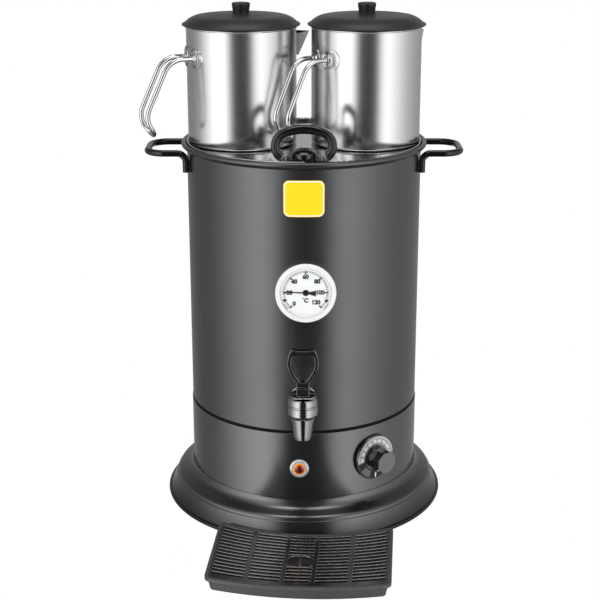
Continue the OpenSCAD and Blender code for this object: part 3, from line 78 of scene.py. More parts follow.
# %% [markdown]
# Metal only looks like metal when it has something to reflect. The studio is drawn in the world
# shader: for each direction round the urn a brightness, as if tall soft boxes stood left and right
# with a dark gap straight ahead. The gap draws the dark stripe down the middle of every round wall.
# Real lamps could do this too, but a ring needs no lamp objects and has no noise. The first number
# of each pair is an angle round the urn: 0 is the front, 90 is the right.

# %% brightness round the urn
RING_OF_LIGHT = (
    (-180, 0.60), (-150, 0.38), (-125, 0.38), (-105, 0.50), (-92, 0.80), (-82, 1.20), (-72, 1.65),
    (-62, 2.10), (-52, 2.50), (-40, 2.80), (-29, 2.00), (-17, 0.06), (19, 0.05), (30, 1.80),
    (42, 2.35), (58, 1.80), (78, 1.20), (95, 0.88), (115, 0.68), (145, 0.50), (180, 0.60),
)
BRIGHTEST = 2.9
print("ring of light:", len(RING_OF_LIGHT), "steps, brightest", max(level for _, level in RING_OF_LIGHT))

# %% [markdown]
# A world is a tree of nodes, as a material is. Two helpers keep the cells below short: one adds a
# node with its plain numbers set, and the other fills a colour ramp with grey stops.

# %% world helpers
world = bpy.data.worlds.new("studio")
scene.world = world
world.use_nodes = True
wt = world.node_tree
wt.nodes.clear()
link = wt.links.new


def world_node(kind, operation=None, **sockets):
    """Adds a world node; i0, i1, i2 set the plain numbers of its sockets."""
    node = wt.nodes.new(kind)
    if operation:
        node.operation = operation
    for key, value in sockets.items():
        node.inputs[int(key[1:])].default_value = value
    return node


def fill_ramp(ramp, pairs):
    """Gives a colour ramp one grey stop for each pair of position and level."""
    stops = ramp.color_ramp.elements
    while len(stops) < len(pairs):
        stops.new(0.5)
    for stop, (position, level) in zip(stops, pairs):
        stop.position = position
        stop.color = (level,) * 3 + (1,)


print("world ready:", world.name)

# %% [markdown]
# The arctangent of the viewing direction's x and y is the angle round the urn. Scaled to run from 0
# to 1, it picks a grey on a colour ramp. A ramp only holds values up to 1, so the levels are
# divided by the brightest and multiplied back afterwards.

# %% the studio as a ring of light
coords = wt.nodes.new("ShaderNodeTexCoord")
split = wt.nodes.new("ShaderNodeSeparateXYZ")
ahead = world_node("ShaderNodeMath", "MULTIPLY", i1=-1.0)
azimuth = world_node("ShaderNodeMath", "ARCTAN2")
turned = world_node("ShaderNodeMath", "MULTIPLY_ADD", i1=1 / (2 * math.pi), i2=0.5)
ring = wt.nodes.new("ShaderNodeValToRGB")
link(coords.outputs["Generated"], split.inputs[0])
link(split.outputs["Y"], ahead.inputs[0])
link(split.outputs["X"], azimuth.inputs[0])
link(ahead.outputs[0], azimuth.inputs[1])
link(azimuth.outputs[0], turned.inputs[0])
link(turned.outputs[0], ring.inputs[0])
fill_ramp(ring, [((angle + 180) / 360, level / BRIGHTEST) for angle, level in RING_OF_LIGHT])
print("ring stops:", len(ring.color_ramp.elements))

# %% [markdown]
# Overhead the studio has a wide soft light, and below the table it is dim. A second ramp holds that
# change with height, and the two are multiplied. Each pair is the height of a direction, from -1
# straight down to 1 straight up, and its level.

# %% overhead and below
HEIGHTS = ((-1.0, 0.15), (-0.75, 0.35), (-0.45, 1.0), (0.35, 1.0), (0.6, 0.55), (0.85, 0.5), (1.0, 0.8))
height = wt.nodes.new("ShaderNodeValToRGB")
spread = world_node("ShaderNodeMath", "MULTIPLY_ADD", i1=0.5, i2=0.5)
link(split.outputs["Z"], spread.inputs[0])
link(spread.outputs[0], height.inputs[0])
fill_ramp(height, [((z + 1) / 2, level) for z, level in HEIGHTS])
product = world_node("ShaderNodeMath", "MULTIPLY")
link(ring.outputs["Color"], product.inputs[0])
link(height.outputs["Color"], product.inputs[1])
bright = world_node("ShaderNodeMath", "MULTIPLY", i1=BRIGHTEST)
link(product.outputs[0], bright.inputs[0])
print("height stops:", len(height.color_ramp.elements))

# %% [markdown]
# The background of a catalogue picture is plain white. More light would bleach the urn, so the
# white is shown to the camera alone, and everything else sees the studio.

# %% white for the camera
room, paper = wt.nodes.new("ShaderNodeBackground"), wt.nodes.new("ShaderNodeBackground")
paper.inputs["Color"].default_value = (1, 1, 1, 1)
link(bright.outputs[0], room.inputs["Strength"])
rays = wt.nodes.new("ShaderNodeLightPath")
pick = wt.nodes.new("ShaderNodeMixShader")
world_out = wt.nodes.new("ShaderNodeOutputWorld")
link(rays.outputs["Is Camera Ray"], pick.inputs[0])
link(room.outputs[0], pick.inputs[1])
link(paper.outputs[0], pick.inputs[2])
link(pick.outputs[0], world_out.inputs["Surface"])
print("world nodes:", len(wt.nodes))

# %% [markdown]
# Two soft boxes help the world. The one above gives the lids and the skirt a soft shadow. The one in
# front only fills matt surfaces such as the dial, so it is hidden from reflections, where it would
# show as a pale square in the dark gap.


# %% two soft boxes
def soft_box(name, place, aim, width, height, power, colour=(1, 1, 1)):
    data = bpy.data.lights.new(name, "AREA")
    data.shape, data.size, data.size_y = "RECTANGLE", width, height
    data.energy, data.color = power, colour
    light = bpy.data.objects.new(name, data)
    scene.collection.objects.link(light)
    light.location = place
    light.rotation_euler = (Vector(aim) - Vector(place)).to_track_quat("-Z", "Y").to_euler()
    return light


soft_box("top_box", (0.0, -0.25, 1.9), (0, -0.05, 0.3), 1.1, 0.8, 6.0)
fill = soft_box("front_fill", (0.0, -2.4, 0.9), (0, 0, 0.28), 1.6, 1.0, 26.0)
fill.visible_glossy = False
print("soft boxes:", len(bpy.data.lights))

# %% [markdown]
# Every finish below is a small tree of shader nodes. This helper makes a material with one
# Principled shader, sets plain numbers straight on its sockets, and hands the tree back so that
# a finish can add its own grain.


# %% a helper for materials
def finish_named(name, colour, metallic=0.0, roughness=0.5, **sockets):
    material = bpy.data.materials.new(name)
    material.use_nodes = True
    tree = material.node_tree
    shader = tree.nodes["Principled BSDF"]
    shader.inputs["Base Color"].default_value = (*colour, 1.0)
    shader.inputs["Metallic"].default_value = metallic
    shader.inputs["Roughness"].default_value = roughness
    for key, value in sockets.items():
        shader.inputs[key.replace("_", " ")].default_value = value
    return material, tree, shader


def group_socket(tree, name, kind, value=None, out=False):
    socket = tree.interface.new_socket(name, in_out="OUTPUT" if out else "INPUT", socket_type=kind)
    if value is not None:
        socket.default_value = value
    return socket


print("helpers ready")

# %% [markdown]
# Powder coat, moulded plastic and rubber share one effect: a fine uneven skin that breaks up the
# gloss. It is a node group, so each finish sets only its own grain size and depth. A Bevel node
# rounds the edges in the shading alone, which is enough for the half millimetre of a moulded edge
# and adds no faces. The group gives out a roughness, a normal and a mask for slight changes of shade.

# %% node group: uneven skin
SKIN_INPUTS = (
    ("Grain per metre", 900.0), ("Depth", 0.1), ("Smoothest", 0.4), ("Roughest", 0.5), ("Edge", 0.0),
)


def uneven_skin_group():
    tree = bpy.data.node_groups.new("uneven_skin", "ShaderNodeTree")
    for name, value in SKIN_INPUTS:
        group_socket(tree, name, "NodeSocketFloat", value)
    group_socket(tree, "Roughness", "NodeSocketFloat", out=True)
    group_socket(tree, "Normal", "NodeSocketVector", out=True)
    group_socket(tree, "Shade", "NodeSocketFloat", out=True)
    new, join = tree.nodes.new, tree.links.new
    given, out = new("NodeGroupInput"), new("NodeGroupOutput")
    place = new("ShaderNodeTexCoord")
    fine, broad = new("ShaderNodeTexNoise"), new("ShaderNodeTexNoise")
    fine.inputs["Detail"].default_value = 3.0
    broad.inputs["Scale"].default_value = 22.0
    broad.inputs["Detail"].default_value = 4.0
    bump, spread, edge = new("ShaderNodeBump"), new("ShaderNodeMapRange"), new("ShaderNodeBevel")
    bump.inputs["Distance"].default_value = 0.0004
    edge.samples = 6
    join(given.outputs["Edge"], edge.inputs["Radius"])
    join(edge.outputs[0], bump.inputs["Normal"])
    join(place.outputs["Object"], fine.inputs["Vector"])
    join(place.outputs["Object"], broad.inputs["Vector"])
    join(given.outputs["Grain per metre"], fine.inputs["Scale"])
    join(fine.outputs["Fac"], bump.inputs["Height"])
    join(given.outputs["Depth"], bump.inputs["Strength"])
    spread.inputs["From Min"].default_value = 0.35
    spread.inputs["From Max"].default_value = 0.65
    join(broad.outputs["Fac"], spread.inputs["Value"])
    join(given.outputs["Smoothest"], spread.inputs["To Min"])
    join(given.outputs["Roughest"], spread.inputs["To Max"])
    join(spread.outputs[0], out.inputs["Roughness"])
    join(bump.outputs[0], out.inputs["Normal"])
    join(fine.outputs["Fac"], out.inputs["Shade"])
    return tree


SKIN = uneven_skin_group()
print("group", SKIN.name, "with", len(SKIN.nodes), "nodes")

# %% [markdown]
# This helper places the skin in a material and gives it the finish's own values. The colour swings
# a few per cent either way with the grain, because no coat is quite even.


# %% a helper that lays the skin on a finish
def coated(name, colour, metallic=0.0, grain=900.0, depth=0.1, smooth=0.35, rough=0.45, vary=0.08,
           edge=0.0, **sockets):
    material, tree, shader = finish_named(name, colour, metallic, (smooth + rough) / 2, **sockets)
    skin = tree.nodes.new("ShaderNodeGroup")
    skin.node_tree = SKIN
    for key, value in zip(("Grain per metre", "Depth", "Smoothest", "Roughest", "Edge"),
                          (grain, depth, smooth, rough, edge)):
        skin.inputs[key].default_value = value
    ramp = tree.nodes.new("ShaderNodeMix")
    ramp.data_type = "RGBA"
    ramp.inputs["A"].default_value = (*[c * (1 - vary) for c in colour], 1)
    ramp.inputs["B"].default_value = (*[min(1, c * (1 + vary)) for c in colour], 1)
    tree.links.new(skin.outputs["Shade"], ramp.inputs["Factor"])
    tree.links.new(ramp.outputs["Result"], shader.inputs["Base Color"])
    tree.links.new(skin.outputs["Roughness"], shader.inputs["Roughness"])
    tree.links.new(skin.outputs["Normal"], shader.inputs["Normal"])
    return material


print("skin helper ready")

# %% [markdown]
# The drum is pressed sheet with a dark grey powder coat that has metal flake in it. Most of its look is a
# blurred reflection, so the coat is nearly all metallic and satin, and the soft boxes show in it as wide
# stripes. The lower housing and the skirt are rolled smoother and shine a little more. The housing's coat is
# also a lighter copy of the drum's, which is painted light for the glow from the floor below.

# %% painted sheet
FINISH = {
    "body_grey": coated("grey_powder_coat", (0.115, 0.116, 0.118), 0.92, 1500, 0.05, 0.27, 0.31, 0.05),
    # painted light: the housing's coat is a lighter copy of the drum's
    "housing_grey": coated(
        "grey_powder_coat_housing", (0.138, 0.139, 0.141), 0.94, 1500, 0.05, 0.21, 0.25, 0.05, 0.0012),
    "base_grey": coated(
        "grey_powder_coat_base", (0.13, 0.131, 0.133), 0.94, 1500, 0.04, 0.18, 0.21, 0.05),
    "rod_black": coated(
        "gloss_black_enamel", (0.004, 0.004, 0.0045), 0.0, 700, 0.02, 0.09, 0.13, IOR=1.5),
    "dome_grey": coated("satin_black_enamel", (0.024, 0.024, 0.025), 0.2, 1500, 0.08, 0.36, 0.44),
}
print("painted finishes:", sorted(FINISH))

# %% [markdown]
# Black plastic differs from piece to piece. The lever, the knob and the grille are polished and
# catch bright lines on their edges, which a raised index of refraction and a shaded edge give them.
# The tray is grained, and the seals and the foot ring are dull rubber.

# %% black plastic and rubber
FINISH |= {
    "rim_black": coated("black_seam_rubber", (0.006, 0.006, 0.006), 0.0, 1200, 0.1, 0.5, 0.6, IOR=1.15),
    "gloss_black": coated(
        "gloss_black_phenolic", (0.004, 0.004, 0.0045), 0.0, 700, 0.02, 0.07, 0.10, edge=0.0005, IOR=1.6),
    "lever_black": coated(
        "polished_black_phenolic", (0.003, 0.003, 0.003), 0.0, 700, 0.02, 0.05, 0.08, edge=0.0008, IOR=3.2),
    "knob_gloss": coated(
        "glossy_black_phenolic", (0.006, 0.006, 0.0065), 0.0, 700, 0.02, 0.08, 0.12, edge=0.0006, IOR=2.3),
    "knob_black": coated("black_phenolic", (0.010, 0.010, 0.010), 0.0, 900, 0.05, 0.30, 0.38, edge=0.0006),
    "tray_black": coated(
        "grained_black_plastic", (0.07, 0.07, 0.071), 0.0, 2200, 0.3, 0.30, 0.42, edge=0.0008),
    "grille_black": coated(
        "glossy_black_plastic", (0.012, 0.012, 0.012), 0.0, 1200, 0.05, 0.12, 0.18, edge=0.0014, IOR=3.4),
    "rubber_black": coated("black_foot_rubber", (0.02, 0.02, 0.02), 0.0, 1400, 0.2, 0.6, 0.75),
}
print("finishes with the black plastics:", len(FINISH))

# %% [markdown]
# The rest are small parts: silicone seals, ceramic and nylon blocks inside the housing, the white
# enamel of the dial and its case, the pointer's paint and the yellow enamel of the badge.

# %% seals, blocks and dial paints
FINISH |= {
    "seal_red": coated("red_silicone", (0.35, 0.05, 0.035), 0.0, 900, 0.05, 0.45, 0.6),
    "seal_white": coated("white_silicone", (0.75, 0.75, 0.72), 0.0, 900, 0.05, 0.4, 0.55),
    "ceramic": coated("white_ceramic", (0.72, 0.70, 0.64), 0.0, 900, 0.1, 0.35, 0.5),
    "white_case": coated("white_nylon", (0.78, 0.78, 0.76), 0.0, 900, 0.05, 0.35, 0.45),
    "dial_white": coated("white_dial_enamel", (0.97, 0.97, 0.965), 0.0, 1200, 0.02, 0.3, 0.4, 0.01),
    "dial_case": coated("white_case_enamel", (0.80, 0.80, 0.80), 0.0, 1200, 0.02, 0.18, 0.26, 0.02),
    "pointer_black": coated("black_pointer_paint", (0.012, 0.012, 0.012), 0.0, 1200, 0.02, 0.35, 0.45),
    "badge_yellow": coated("yellow_enamel", (0.93, 0.66, 0.005), 0.0, 1200, 0.02, 0.25, 0.35, 0.02),
}
print("finishes with the small parts:", len(FINISH))

# %% [markdown]
# Towards the hem of the skirt a painted shade darkens the coat, where it turns down to the table and the
# room below is dim. A fade over the last two centimetres of height is multiplied into the coat's colour as
# painted shade.

# %% painted shade at the hem of the skirt
# painted shade: near the table the coat's colour is multiplied down to 0.3 of itself
HEM_LOW, HEM_HIGH, HEM_SHADE = 0.004, 0.024, 0.3
hem = FINISH["base_grey"].node_tree
hem_place, hem_split, hem_painted_shade, hem_shade_mix = [
    hem.nodes.new("ShaderNode" + kind) for kind in ("TexCoord", "SeparateXYZ", "MapRange", "Mix")
]
hem_shade_mix.data_type, hem_shade_mix.blend_type = "RGBA", "MULTIPLY"
hem_shade_mix.inputs["Factor"].default_value = 1.0
hem_painted_shade.inputs["From Min"].default_value = HEM_LOW
hem_painted_shade.inputs["From Max"].default_value = HEM_HIGH
hem_painted_shade.inputs["To Min"].default_value = HEM_SHADE
hem_shader = hem.nodes["Principled BSDF"]
hem.links.new(hem_place.outputs["Object"], hem_split.inputs[0])
hem.links.new(hem_split.outputs["Z"], hem_painted_shade.inputs["Value"])
hem.links.new(hem_shader.inputs["Base Color"].links[0].from_socket, hem_shade_mix.inputs["A"])
hem.links.new(hem_painted_shade.outputs[0], hem_shade_mix.inputs["B"])
hem.links.new(hem_shade_mix.outputs["Result"], hem_shader.inputs["Base Color"])
print("hem nodes:", len(hem.nodes))

# %% [markdown]
# The jugs are brushed round and round, so each scratch runs along the wall and the highlight
# spreads up and down it. The group below makes those lines from the height alone, with a slow
# change round the jug, and gives a tangent to the anisotropic shader. A picture of scratches would
# repeat and need a seam, and lines worked out from the place on the wall don't.

# %% node group: brushed lines
BRUSH_INPUTS = (("Lines per metre", 5200.0), ("Depth", 0.1), ("Smoothest", 0.2), ("Roughest", 0.34))


def brushed_group():
    tree = bpy.data.node_groups.new("brushed_round", "ShaderNodeTree")
    for name, value in BRUSH_INPUTS:
        group_socket(tree, name, "NodeSocketFloat", value)
    group_socket(tree, "Centre", "NodeSocketVector", (0, 0, 0))
    group_socket(tree, "Roughness", "NodeSocketFloat", out=True)
    group_socket(tree, "Normal", "NodeSocketVector", out=True)
    group_socket(tree, "Tangent", "NodeSocketVector", out=True)
    group_socket(tree, "Streak", "NodeSocketFloat", out=True)
    new, join = tree.nodes.new, tree.links.new
    given, out = new("NodeGroupInput"), new("NodeGroupOutput")
    place, shape = new("ShaderNodeTexCoord"), new("ShaderNodeNewGeometry")
    local = new("ShaderNodeVectorMath")
    local.operation = "SUBTRACT"
    join(place.outputs["Object"], local.inputs[0])
    join(given.outputs["Centre"], local.inputs[1])
    stretch = new("ShaderNodeVectorMath")
    stretch.operation = "MULTIPLY"
    stretch.inputs[1].default_value = (0.004, 0.004, 1.0)
    join(local.outputs[0], stretch.inputs[0])
    lines = new("ShaderNodeTexNoise")
    lines.inputs["Detail"].default_value = 4.0
    lines.inputs["Roughness"].default_value = 0.7
    join(stretch.outputs[0], lines.inputs["Vector"])
    join(given.outputs["Lines per metre"], lines.inputs["Scale"])
    bump, spread = new("ShaderNodeBump"), new("ShaderNodeMapRange")
    bump.inputs["Distance"].default_value = 0.0002
    join(lines.outputs["Fac"], bump.inputs["Height"])
    join(given.outputs["Depth"], bump.inputs["Strength"])
    spread.inputs["From Min"].default_value = 0.3
    spread.inputs["From Max"].default_value = 0.7
    join(lines.outputs["Fac"], spread.inputs["Value"])
    join(given.outputs["Smoothest"], spread.inputs["To Min"])
    join(given.outputs["Roughest"], spread.inputs["To Max"])
    across = new("ShaderNodeVectorMath")
    across.operation = "CROSS_PRODUCT"
    across.inputs[0].default_value = (0, 0, 1)
    join(shape.outputs["Normal"], across.inputs[1])
    join(spread.outputs[0], out.inputs["Roughness"])
    join(bump.outputs[0], out.inputs["Normal"])
    join(across.outputs[0], out.inputs["Tangent"])
    join(lines.outputs["Fac"], out.inputs["Streak"])
    return tree


BRUSH = brushed_group()
print("group", BRUSH.name, "with", len(BRUSH.nodes), "nodes")

# %% [markdown]
# Each jug has a steel of its own, because its scratches run round its own axis. The axes stand
# 65.6 mm left and right of the urn's.

# %% brushed steels
JUG_X = 0.0656
STEEL = (0.66, 0.66, 0.665)


def brushed(name, centre=(0, 0, 0), smooth=0.13, rough=0.22, lines=7000.0, depth=0.08, grip=0.88):
    material, tree, shader = finish_named(name, STEEL, 1.0, (smooth + rough) / 2, Anisotropic=grip)
    lay = tree.nodes.new("ShaderNodeGroup")
    lay.node_tree = BRUSH
    for key, value in zip(("Lines per metre", "Depth", "Smoothest", "Roughest", "Centre"),
                          (lines, depth, smooth, rough, centre)):
        lay.inputs[key].default_value = value
    ramp = tree.nodes.new("ShaderNodeMix")
    ramp.data_type = "RGBA"
    ramp.inputs["A"].default_value = (*[c * 0.88 for c in STEEL], 1)
    ramp.inputs["B"].default_value = (*STEEL, 1)
    tree.links.new(lay.outputs["Streak"], ramp.inputs["Factor"])
    tree.links.new(ramp.outputs["Result"], shader.inputs["Base Color"])
    for key in ("Roughness", "Normal", "Tangent"):
        tree.links.new(lay.outputs[key], shader.inputs[key])
    return material


FINISH["stainless"] = brushed("brushed_stainless")
JUG_STEEL = {
    "left": brushed("brushed_jug_left", (-JUG_X, 0, 0)),
    "right": brushed("brushed_jug_right", (JUG_X, 0, 0)),
}
print("brushed finishes:", len(JUG_STEEL) + 1)

# %% [markdown]
# Chrome, zinc and brass are bare metals that differ in colour and in how far they are polished. The tap's
# chrome is a darker copy of the same chrome, which is painted shade. The inner tank is drawn steel that has
# gone dull, so it is only part metallic. Glass lets light through.

# %% bare metals and glass
FINISH |= {
    "chrome": coated("polished_chrome", (0.64, 0.64, 0.65), 1.0, 400, 0.01, 0.05, 0.08, 0.02),
    # painted shade: a darker copy of the polished chrome, for the tap
    "tap_chrome": coated("polished_chrome_painted_shade", (0.36, 0.36, 0.37), 1.0, 400, 0.01, 0.03, 0.05, 0.02),
    "bright_trim": coated("bright_trim", (0.84, 0.84, 0.85), 0.7, 600, 0.02, 0.25, 0.32, 0.02),
    "mirror_steel": coated("polished_stainless", (0.52, 0.52, 0.53), 1.0, 500, 0.02, 0.07, 0.12, 0.02),
    "tank_steel": coated("drawn_tank_steel", (0.46, 0.46, 0.465), 0.35, 700, 0.04, 0.26, 0.36),
    "zinc": coated("zinc_plate", (0.55, 0.56, 0.57), 1.0, 600, 0.1, 0.28, 0.42),
    "brass": coated("plain_brass", (0.72, 0.52, 0.22), 1.0, 600, 0.05, 0.2, 0.32),
    "clear_glass": finish_named(
        "dial_glass", (0.98, 0.99, 0.99), 0.0, 0.03, Transmission_Weight=1.0, IOR=1.1)[0],
}
print("finishes:", len(FINISH))

# %% [markdown]
# The pilot lamp's lens is a deep red cup behind clear orange plastic. Its colour goes by the distance from
# the middle of the lens: dark red in the middle, which is painted shade, then orange, then amber at the
# edge, which is a painted highlight. These rings of painted light and shade on a solid lens stand in for a
# cup behind it, and need no glass over glass.

# %% lens of the pilot lamp
# painted shade in the middle of the lens and a painted highlight at its edge
LENS_SHADE_AND_HIGHLIGHT_RINGS = (
    (0.2, (0.05, 0.002, 0.001)), (0.62, (0.26, 0.018, 0.002)), (0.82, (0.62, 0.13, 0.006)),
    (1.0, (0.95, 0.45, 0.1)),
)
lens_low, lens_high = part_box("pilot_lens")
lens_middle = ((lens_low.x + lens_high.x) / 2, lens_low.y, (lens_low.z + lens_high.z) / 2)
lamp, lamp_tree, lamp_shader = finish_named(
    "orange_lamp_lens", (0.80, 0.13, 0.01), 0.0, 0.12, Coat_Weight=0.6)
place, away, reach, rings = [
    lamp_tree.nodes.new("ShaderNode" + kind) for kind in ("TexCoord", "VectorMath", "MapRange", "ValToRGB")
]
away.operation = "DISTANCE"
away.inputs[1].default_value = lens_middle
reach.inputs["From Max"].default_value = (lens_high.z - lens_low.z) / 2
for at in (0.6, 0.88):
    rings.color_ramp.elements.new(at)
for stop, (at, shade) in zip(rings.color_ramp.elements, LENS_SHADE_AND_HIGHLIGHT_RINGS):
    stop.position, stop.color = at, (*shade, 1)
lamp_tree.links.new(place.outputs["Object"], away.inputs[0])
lamp_tree.links.new(away.outputs["Value"], reach.inputs["Value"])
lamp_tree.links.new(reach.outputs[0], rings.inputs["Fac"])
lamp_tree.links.new(rings.outputs["Color"], lamp_shader.inputs["Base Color"])
FINISH["lamp_orange"] = lamp
print("lens coloured", len(rings.color_ramp.elements), "rings")

# %% [markdown]
# Each solid wears the finish that its material slot names. A few pieces share a slot but look
# different on the urn, so they are given a finish by name afterwards.

# %% dress the solids
OWN_FINISH = {
    "pilot_bezel": "bright_trim",
    # the housing wears the lighter coat, which is painted light
    "lower_housing": "housing_grey",
    "drip_grille": "grille_black",
    "tap_lever": "lever_black",
    "thermostat_knob": "knob_gloss",
    "inner_tank": "tank_steel",
    # the tap wears the darker chrome, which is painted shade
    "tap_body": "tap_chrome",
    "tap_bonnet": "tap_chrome",
}


def wear(obj, material):
    obj.data.materials.clear()
    obj.data.materials.append(material)


for part in frame["record"]["subparts"]:
    name = part["node"]
    wear(NODES[name], FINISH[OWN_FINISH.get(name, part["material_slot"])])
for side, steel in JUG_STEEL.items():
    wear(NODES[f"jug_{side}_pot"], steel)
print("dressed:", len(NODES))

# %% [markdown]
# Printed marks lie flat on a dial or round a wall. Each is drawn in a local frame with x to the
# right, y up and z straight out, and then carried to its place, so the mesh ends up where it
# belongs and its object stays at the origin. A small lift keeps the print clear of its ground.

# %% frames on the wall
BODY_R, HOUSING_R = 0.125, 0.1256
THERMO = dict(azimuth=0.8, height=0.2700, radius=BODY_R)
KNOB = dict(azimuth=36.5, height=0.078, radius=HOUSING_R)


def out_of_wall(azimuth, height, radius):
    a = math.radians(azimuth)
    right = Vector((math.cos(a), math.sin(a), 0))
    out = Vector((math.sin(a), -math.cos(a), 0))
    place = out * radius + Vector((0, 0, height))
    return Matrix(
        (
            (right.x, 0, out.x, place.x),
            (right.y, 0, out.y, place.y),
            (0, 1, 0, place.z),
            (0, 0, 0, 1),
        )
    )


print("dial at", [round(v, 4) for v in out_of_wall(**THERMO).translation])

# %% [markdown]
# This helper turns points and faces into a piece of the urn. It merges doubles, turns all faces
# outwards, and names the body that the piece rides on, so that it follows when that body moves.


# %% a helper that lays a piece
def piece(name, verts, faces, material, body, slot, smooth=False):
    mesh = bpy.data.meshes.new(name)
    mesh.from_pydata([tuple(v) for v in verts], [], faces)
    bm = bmesh.new()
    bm.from_mesh(mesh)
    bmesh.ops.remove_doubles(bm, verts=bm.verts, dist=1e-7)
    bmesh.ops.recalc_face_normals(bm, faces=bm.faces)
    bm.to_mesh(mesh)
    bm.free()
    mesh.materials.append(material)
    for polygon in mesh.polygons:
        polygon.use_smooth = smooth
    obj = bpy.data.objects.new(name, mesh)
    scene.collection.objects.link(obj)
    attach(obj, body)
    return obj


def joined(parts):
    verts, faces = [], []
    for more_verts, more_faces in parts:
        faces += [tuple(len(verts) + i for i in face) for face in more_faces]
        verts += more_verts
    return verts, faces


def carried(part, matrix):
    return [matrix @ Vector(v) for v in part[0]], part[1]


print("piece helpers ready")

# %% [markdown]
# Print has almost no thickness, but a closed block of a few hundredths of a millimetre has a clear
# outside and casts no odd shadow, which a single loose face may do. Two shapes are enough: a plate
# of any outline and a piece of a ring.


# %% flat shapes
def polar(radius, angle):
    return radius * math.cos(math.radians(angle)), radius * math.sin(math.radians(angle))


def slab(outline, low, high):
    """A flat plate: its outline in mm, with its lower and upper height in mm."""
    n = len(outline)
    verts = [(x * MM, y * MM, z * MM) for z in (low, high) for x, y in outline]
    sides = [(i, (i + 1) % n, n + (i + 1) % n, n + i) for i in range(n)]
    return verts, [tuple(reversed(range(n))), tuple(range(n, 2 * n))] + sides


def ring_sector(inner, outer, start, end, low, high, steps=96):
    """A part of a flat ring in mm and degrees, as a chain of blocks that share their ends."""
    steps = max(2, int(steps * (end - start) / 360))
    verts, faces = [], []
    for i in range(steps + 1):
        x, y = polar(1.0, start + (end - start) * i / steps)
        for r, z in ((inner, low), (outer, low), (outer, high), (inner, high)):
            verts.append((r * x * MM, r * y * MM, z * MM))
    for i in range(steps):
        a, b = 4 * i, 4 * (i + 1)
        for k in range(4):
            faces.append((a + k, a + (k + 1) % 4, b + (k + 1) % 4, b + k))
    last = 4 * steps
    faces += [(0, 1, 2, 3), (last + 3, last + 2, last + 1, last)]
    return verts, faces


print("a quarter ring has", len(ring_sector(1, 2, 0, 90, 0, 1)[1]), "faces")

# %% [markdown]
# The scales have a hundred or so fine ticks. A node tree draws them: a row of points, carried onto
# a circle, with one small block on each. Its sizes are inputs, so the same tree makes the ticks of
# the thermometer and of the thermostat. Copies made by hand would be as good, but a tree can be
# opened and changed in the editor.

# %% a node tree for ticks
TICK_INPUTS = (
    ("Radius", 0.02), ("Start", 0.0), ("Step", 0.1), ("Width", 0.0002), ("Length", 0.002),
    ("Thickness", 0.00005),
)


def tick_tree():
    tree = bpy.data.node_groups.new("scale_ticks", "GeometryNodeTree")
    for name, value in TICK_INPUTS:
        group_socket(tree, name, "NodeSocketFloat", value)
    group_socket(tree, "Count", "NodeSocketInt", 10)
    group_socket(tree, "Ink", "NodeSocketMaterial")
    group_socket(tree, "Geometry", "NodeSocketGeometry", out=True)
    new, join = tree.nodes.new, tree.links.new
    given, out = new("NodeGroupInput"), new("NodeGroupOutput")
    # a row of points, and the angle of each
    points, index, turn = new("GeometryNodeMeshLine"), new("GeometryNodeInputIndex"), new("ShaderNodeMath")
    turn.operation = "MULTIPLY_ADD"
    join(given.outputs["Count"], points.inputs["Count"])
    join(index.outputs[0], turn.inputs[0])
    join(given.outputs["Step"], turn.inputs[1])
    join(given.outputs["Start"], turn.inputs[2])
    # the place of each point on the circle
    east, north = new("ShaderNodeMath"), new("ShaderNodeMath")
    east.operation, north.operation = "COSINE", "SINE"
    spot, reach = new("ShaderNodeCombineXYZ"), new("ShaderNodeVectorMath")
    reach.operation = "SCALE"
    join(turn.outputs[0], east.inputs[0])
    join(turn.outputs[0], north.inputs[0])
    join(east.outputs[0], spot.inputs["X"])
    join(north.outputs[0], spot.inputs["Y"])
    join(spot.outputs[0], reach.inputs[0])
    join(given.outputs["Radius"], reach.inputs["Scale"])
    # a block of the tick's own size
    place, block = new("GeometryNodeSetPosition"), new("GeometryNodeMeshCube")
    size = new("ShaderNodeCombineXYZ")
    join(points.outputs[0], place.inputs["Geometry"])
    join(reach.outputs[0], place.inputs["Position"])
    join(given.outputs["Length"], size.inputs["X"])
    join(given.outputs["Width"], size.inputs["Y"])
    join(given.outputs["Thickness"], size.inputs["Z"])
    join(size.outputs[0], block.inputs["Size"])
    # one block on each point, turned to face outwards, made real and inked
    copies, facing = new("GeometryNodeInstanceOnPoints"), new("ShaderNodeCombineXYZ")
    real, ink = new("GeometryNodeRealizeInstances"), new("GeometryNodeSetMaterial")
    join(place.outputs[0], copies.inputs["Points"])
    join(block.outputs["Mesh"], copies.inputs["Instance"])
    join(turn.outputs[0], facing.inputs["Z"])
    join(facing.outputs[0], copies.inputs["Rotation"])
    join(copies.outputs[0], real.inputs[0])
    join(real.outputs[0], ink.inputs["Geometry"])
    join(given.outputs["Ink"], ink.inputs["Material"])
    join(ink.outputs[0], out.inputs["Geometry"])
    return tree


TICKS = tick_tree()
print("tree", TICKS.name, "with", len(TICKS.nodes), "nodes")

# %% [markdown]
# The tree is run once on an empty holder, and its result is kept as plain points and faces. A live
# modifier would have to be applied later anyway, and plain faces can be joined with other marks.

# %% run the tree
TICK_THICKNESS = 0.05


def mesh_data(mesh, move=Matrix()):
    """Reads a mesh into points and faces, and frees it."""
    part = [tuple(move @ v.co) for v in mesh.vertices], [tuple(p.vertices) for p in mesh.polygons]
    bpy.data.meshes.remove(mesh)
    return part


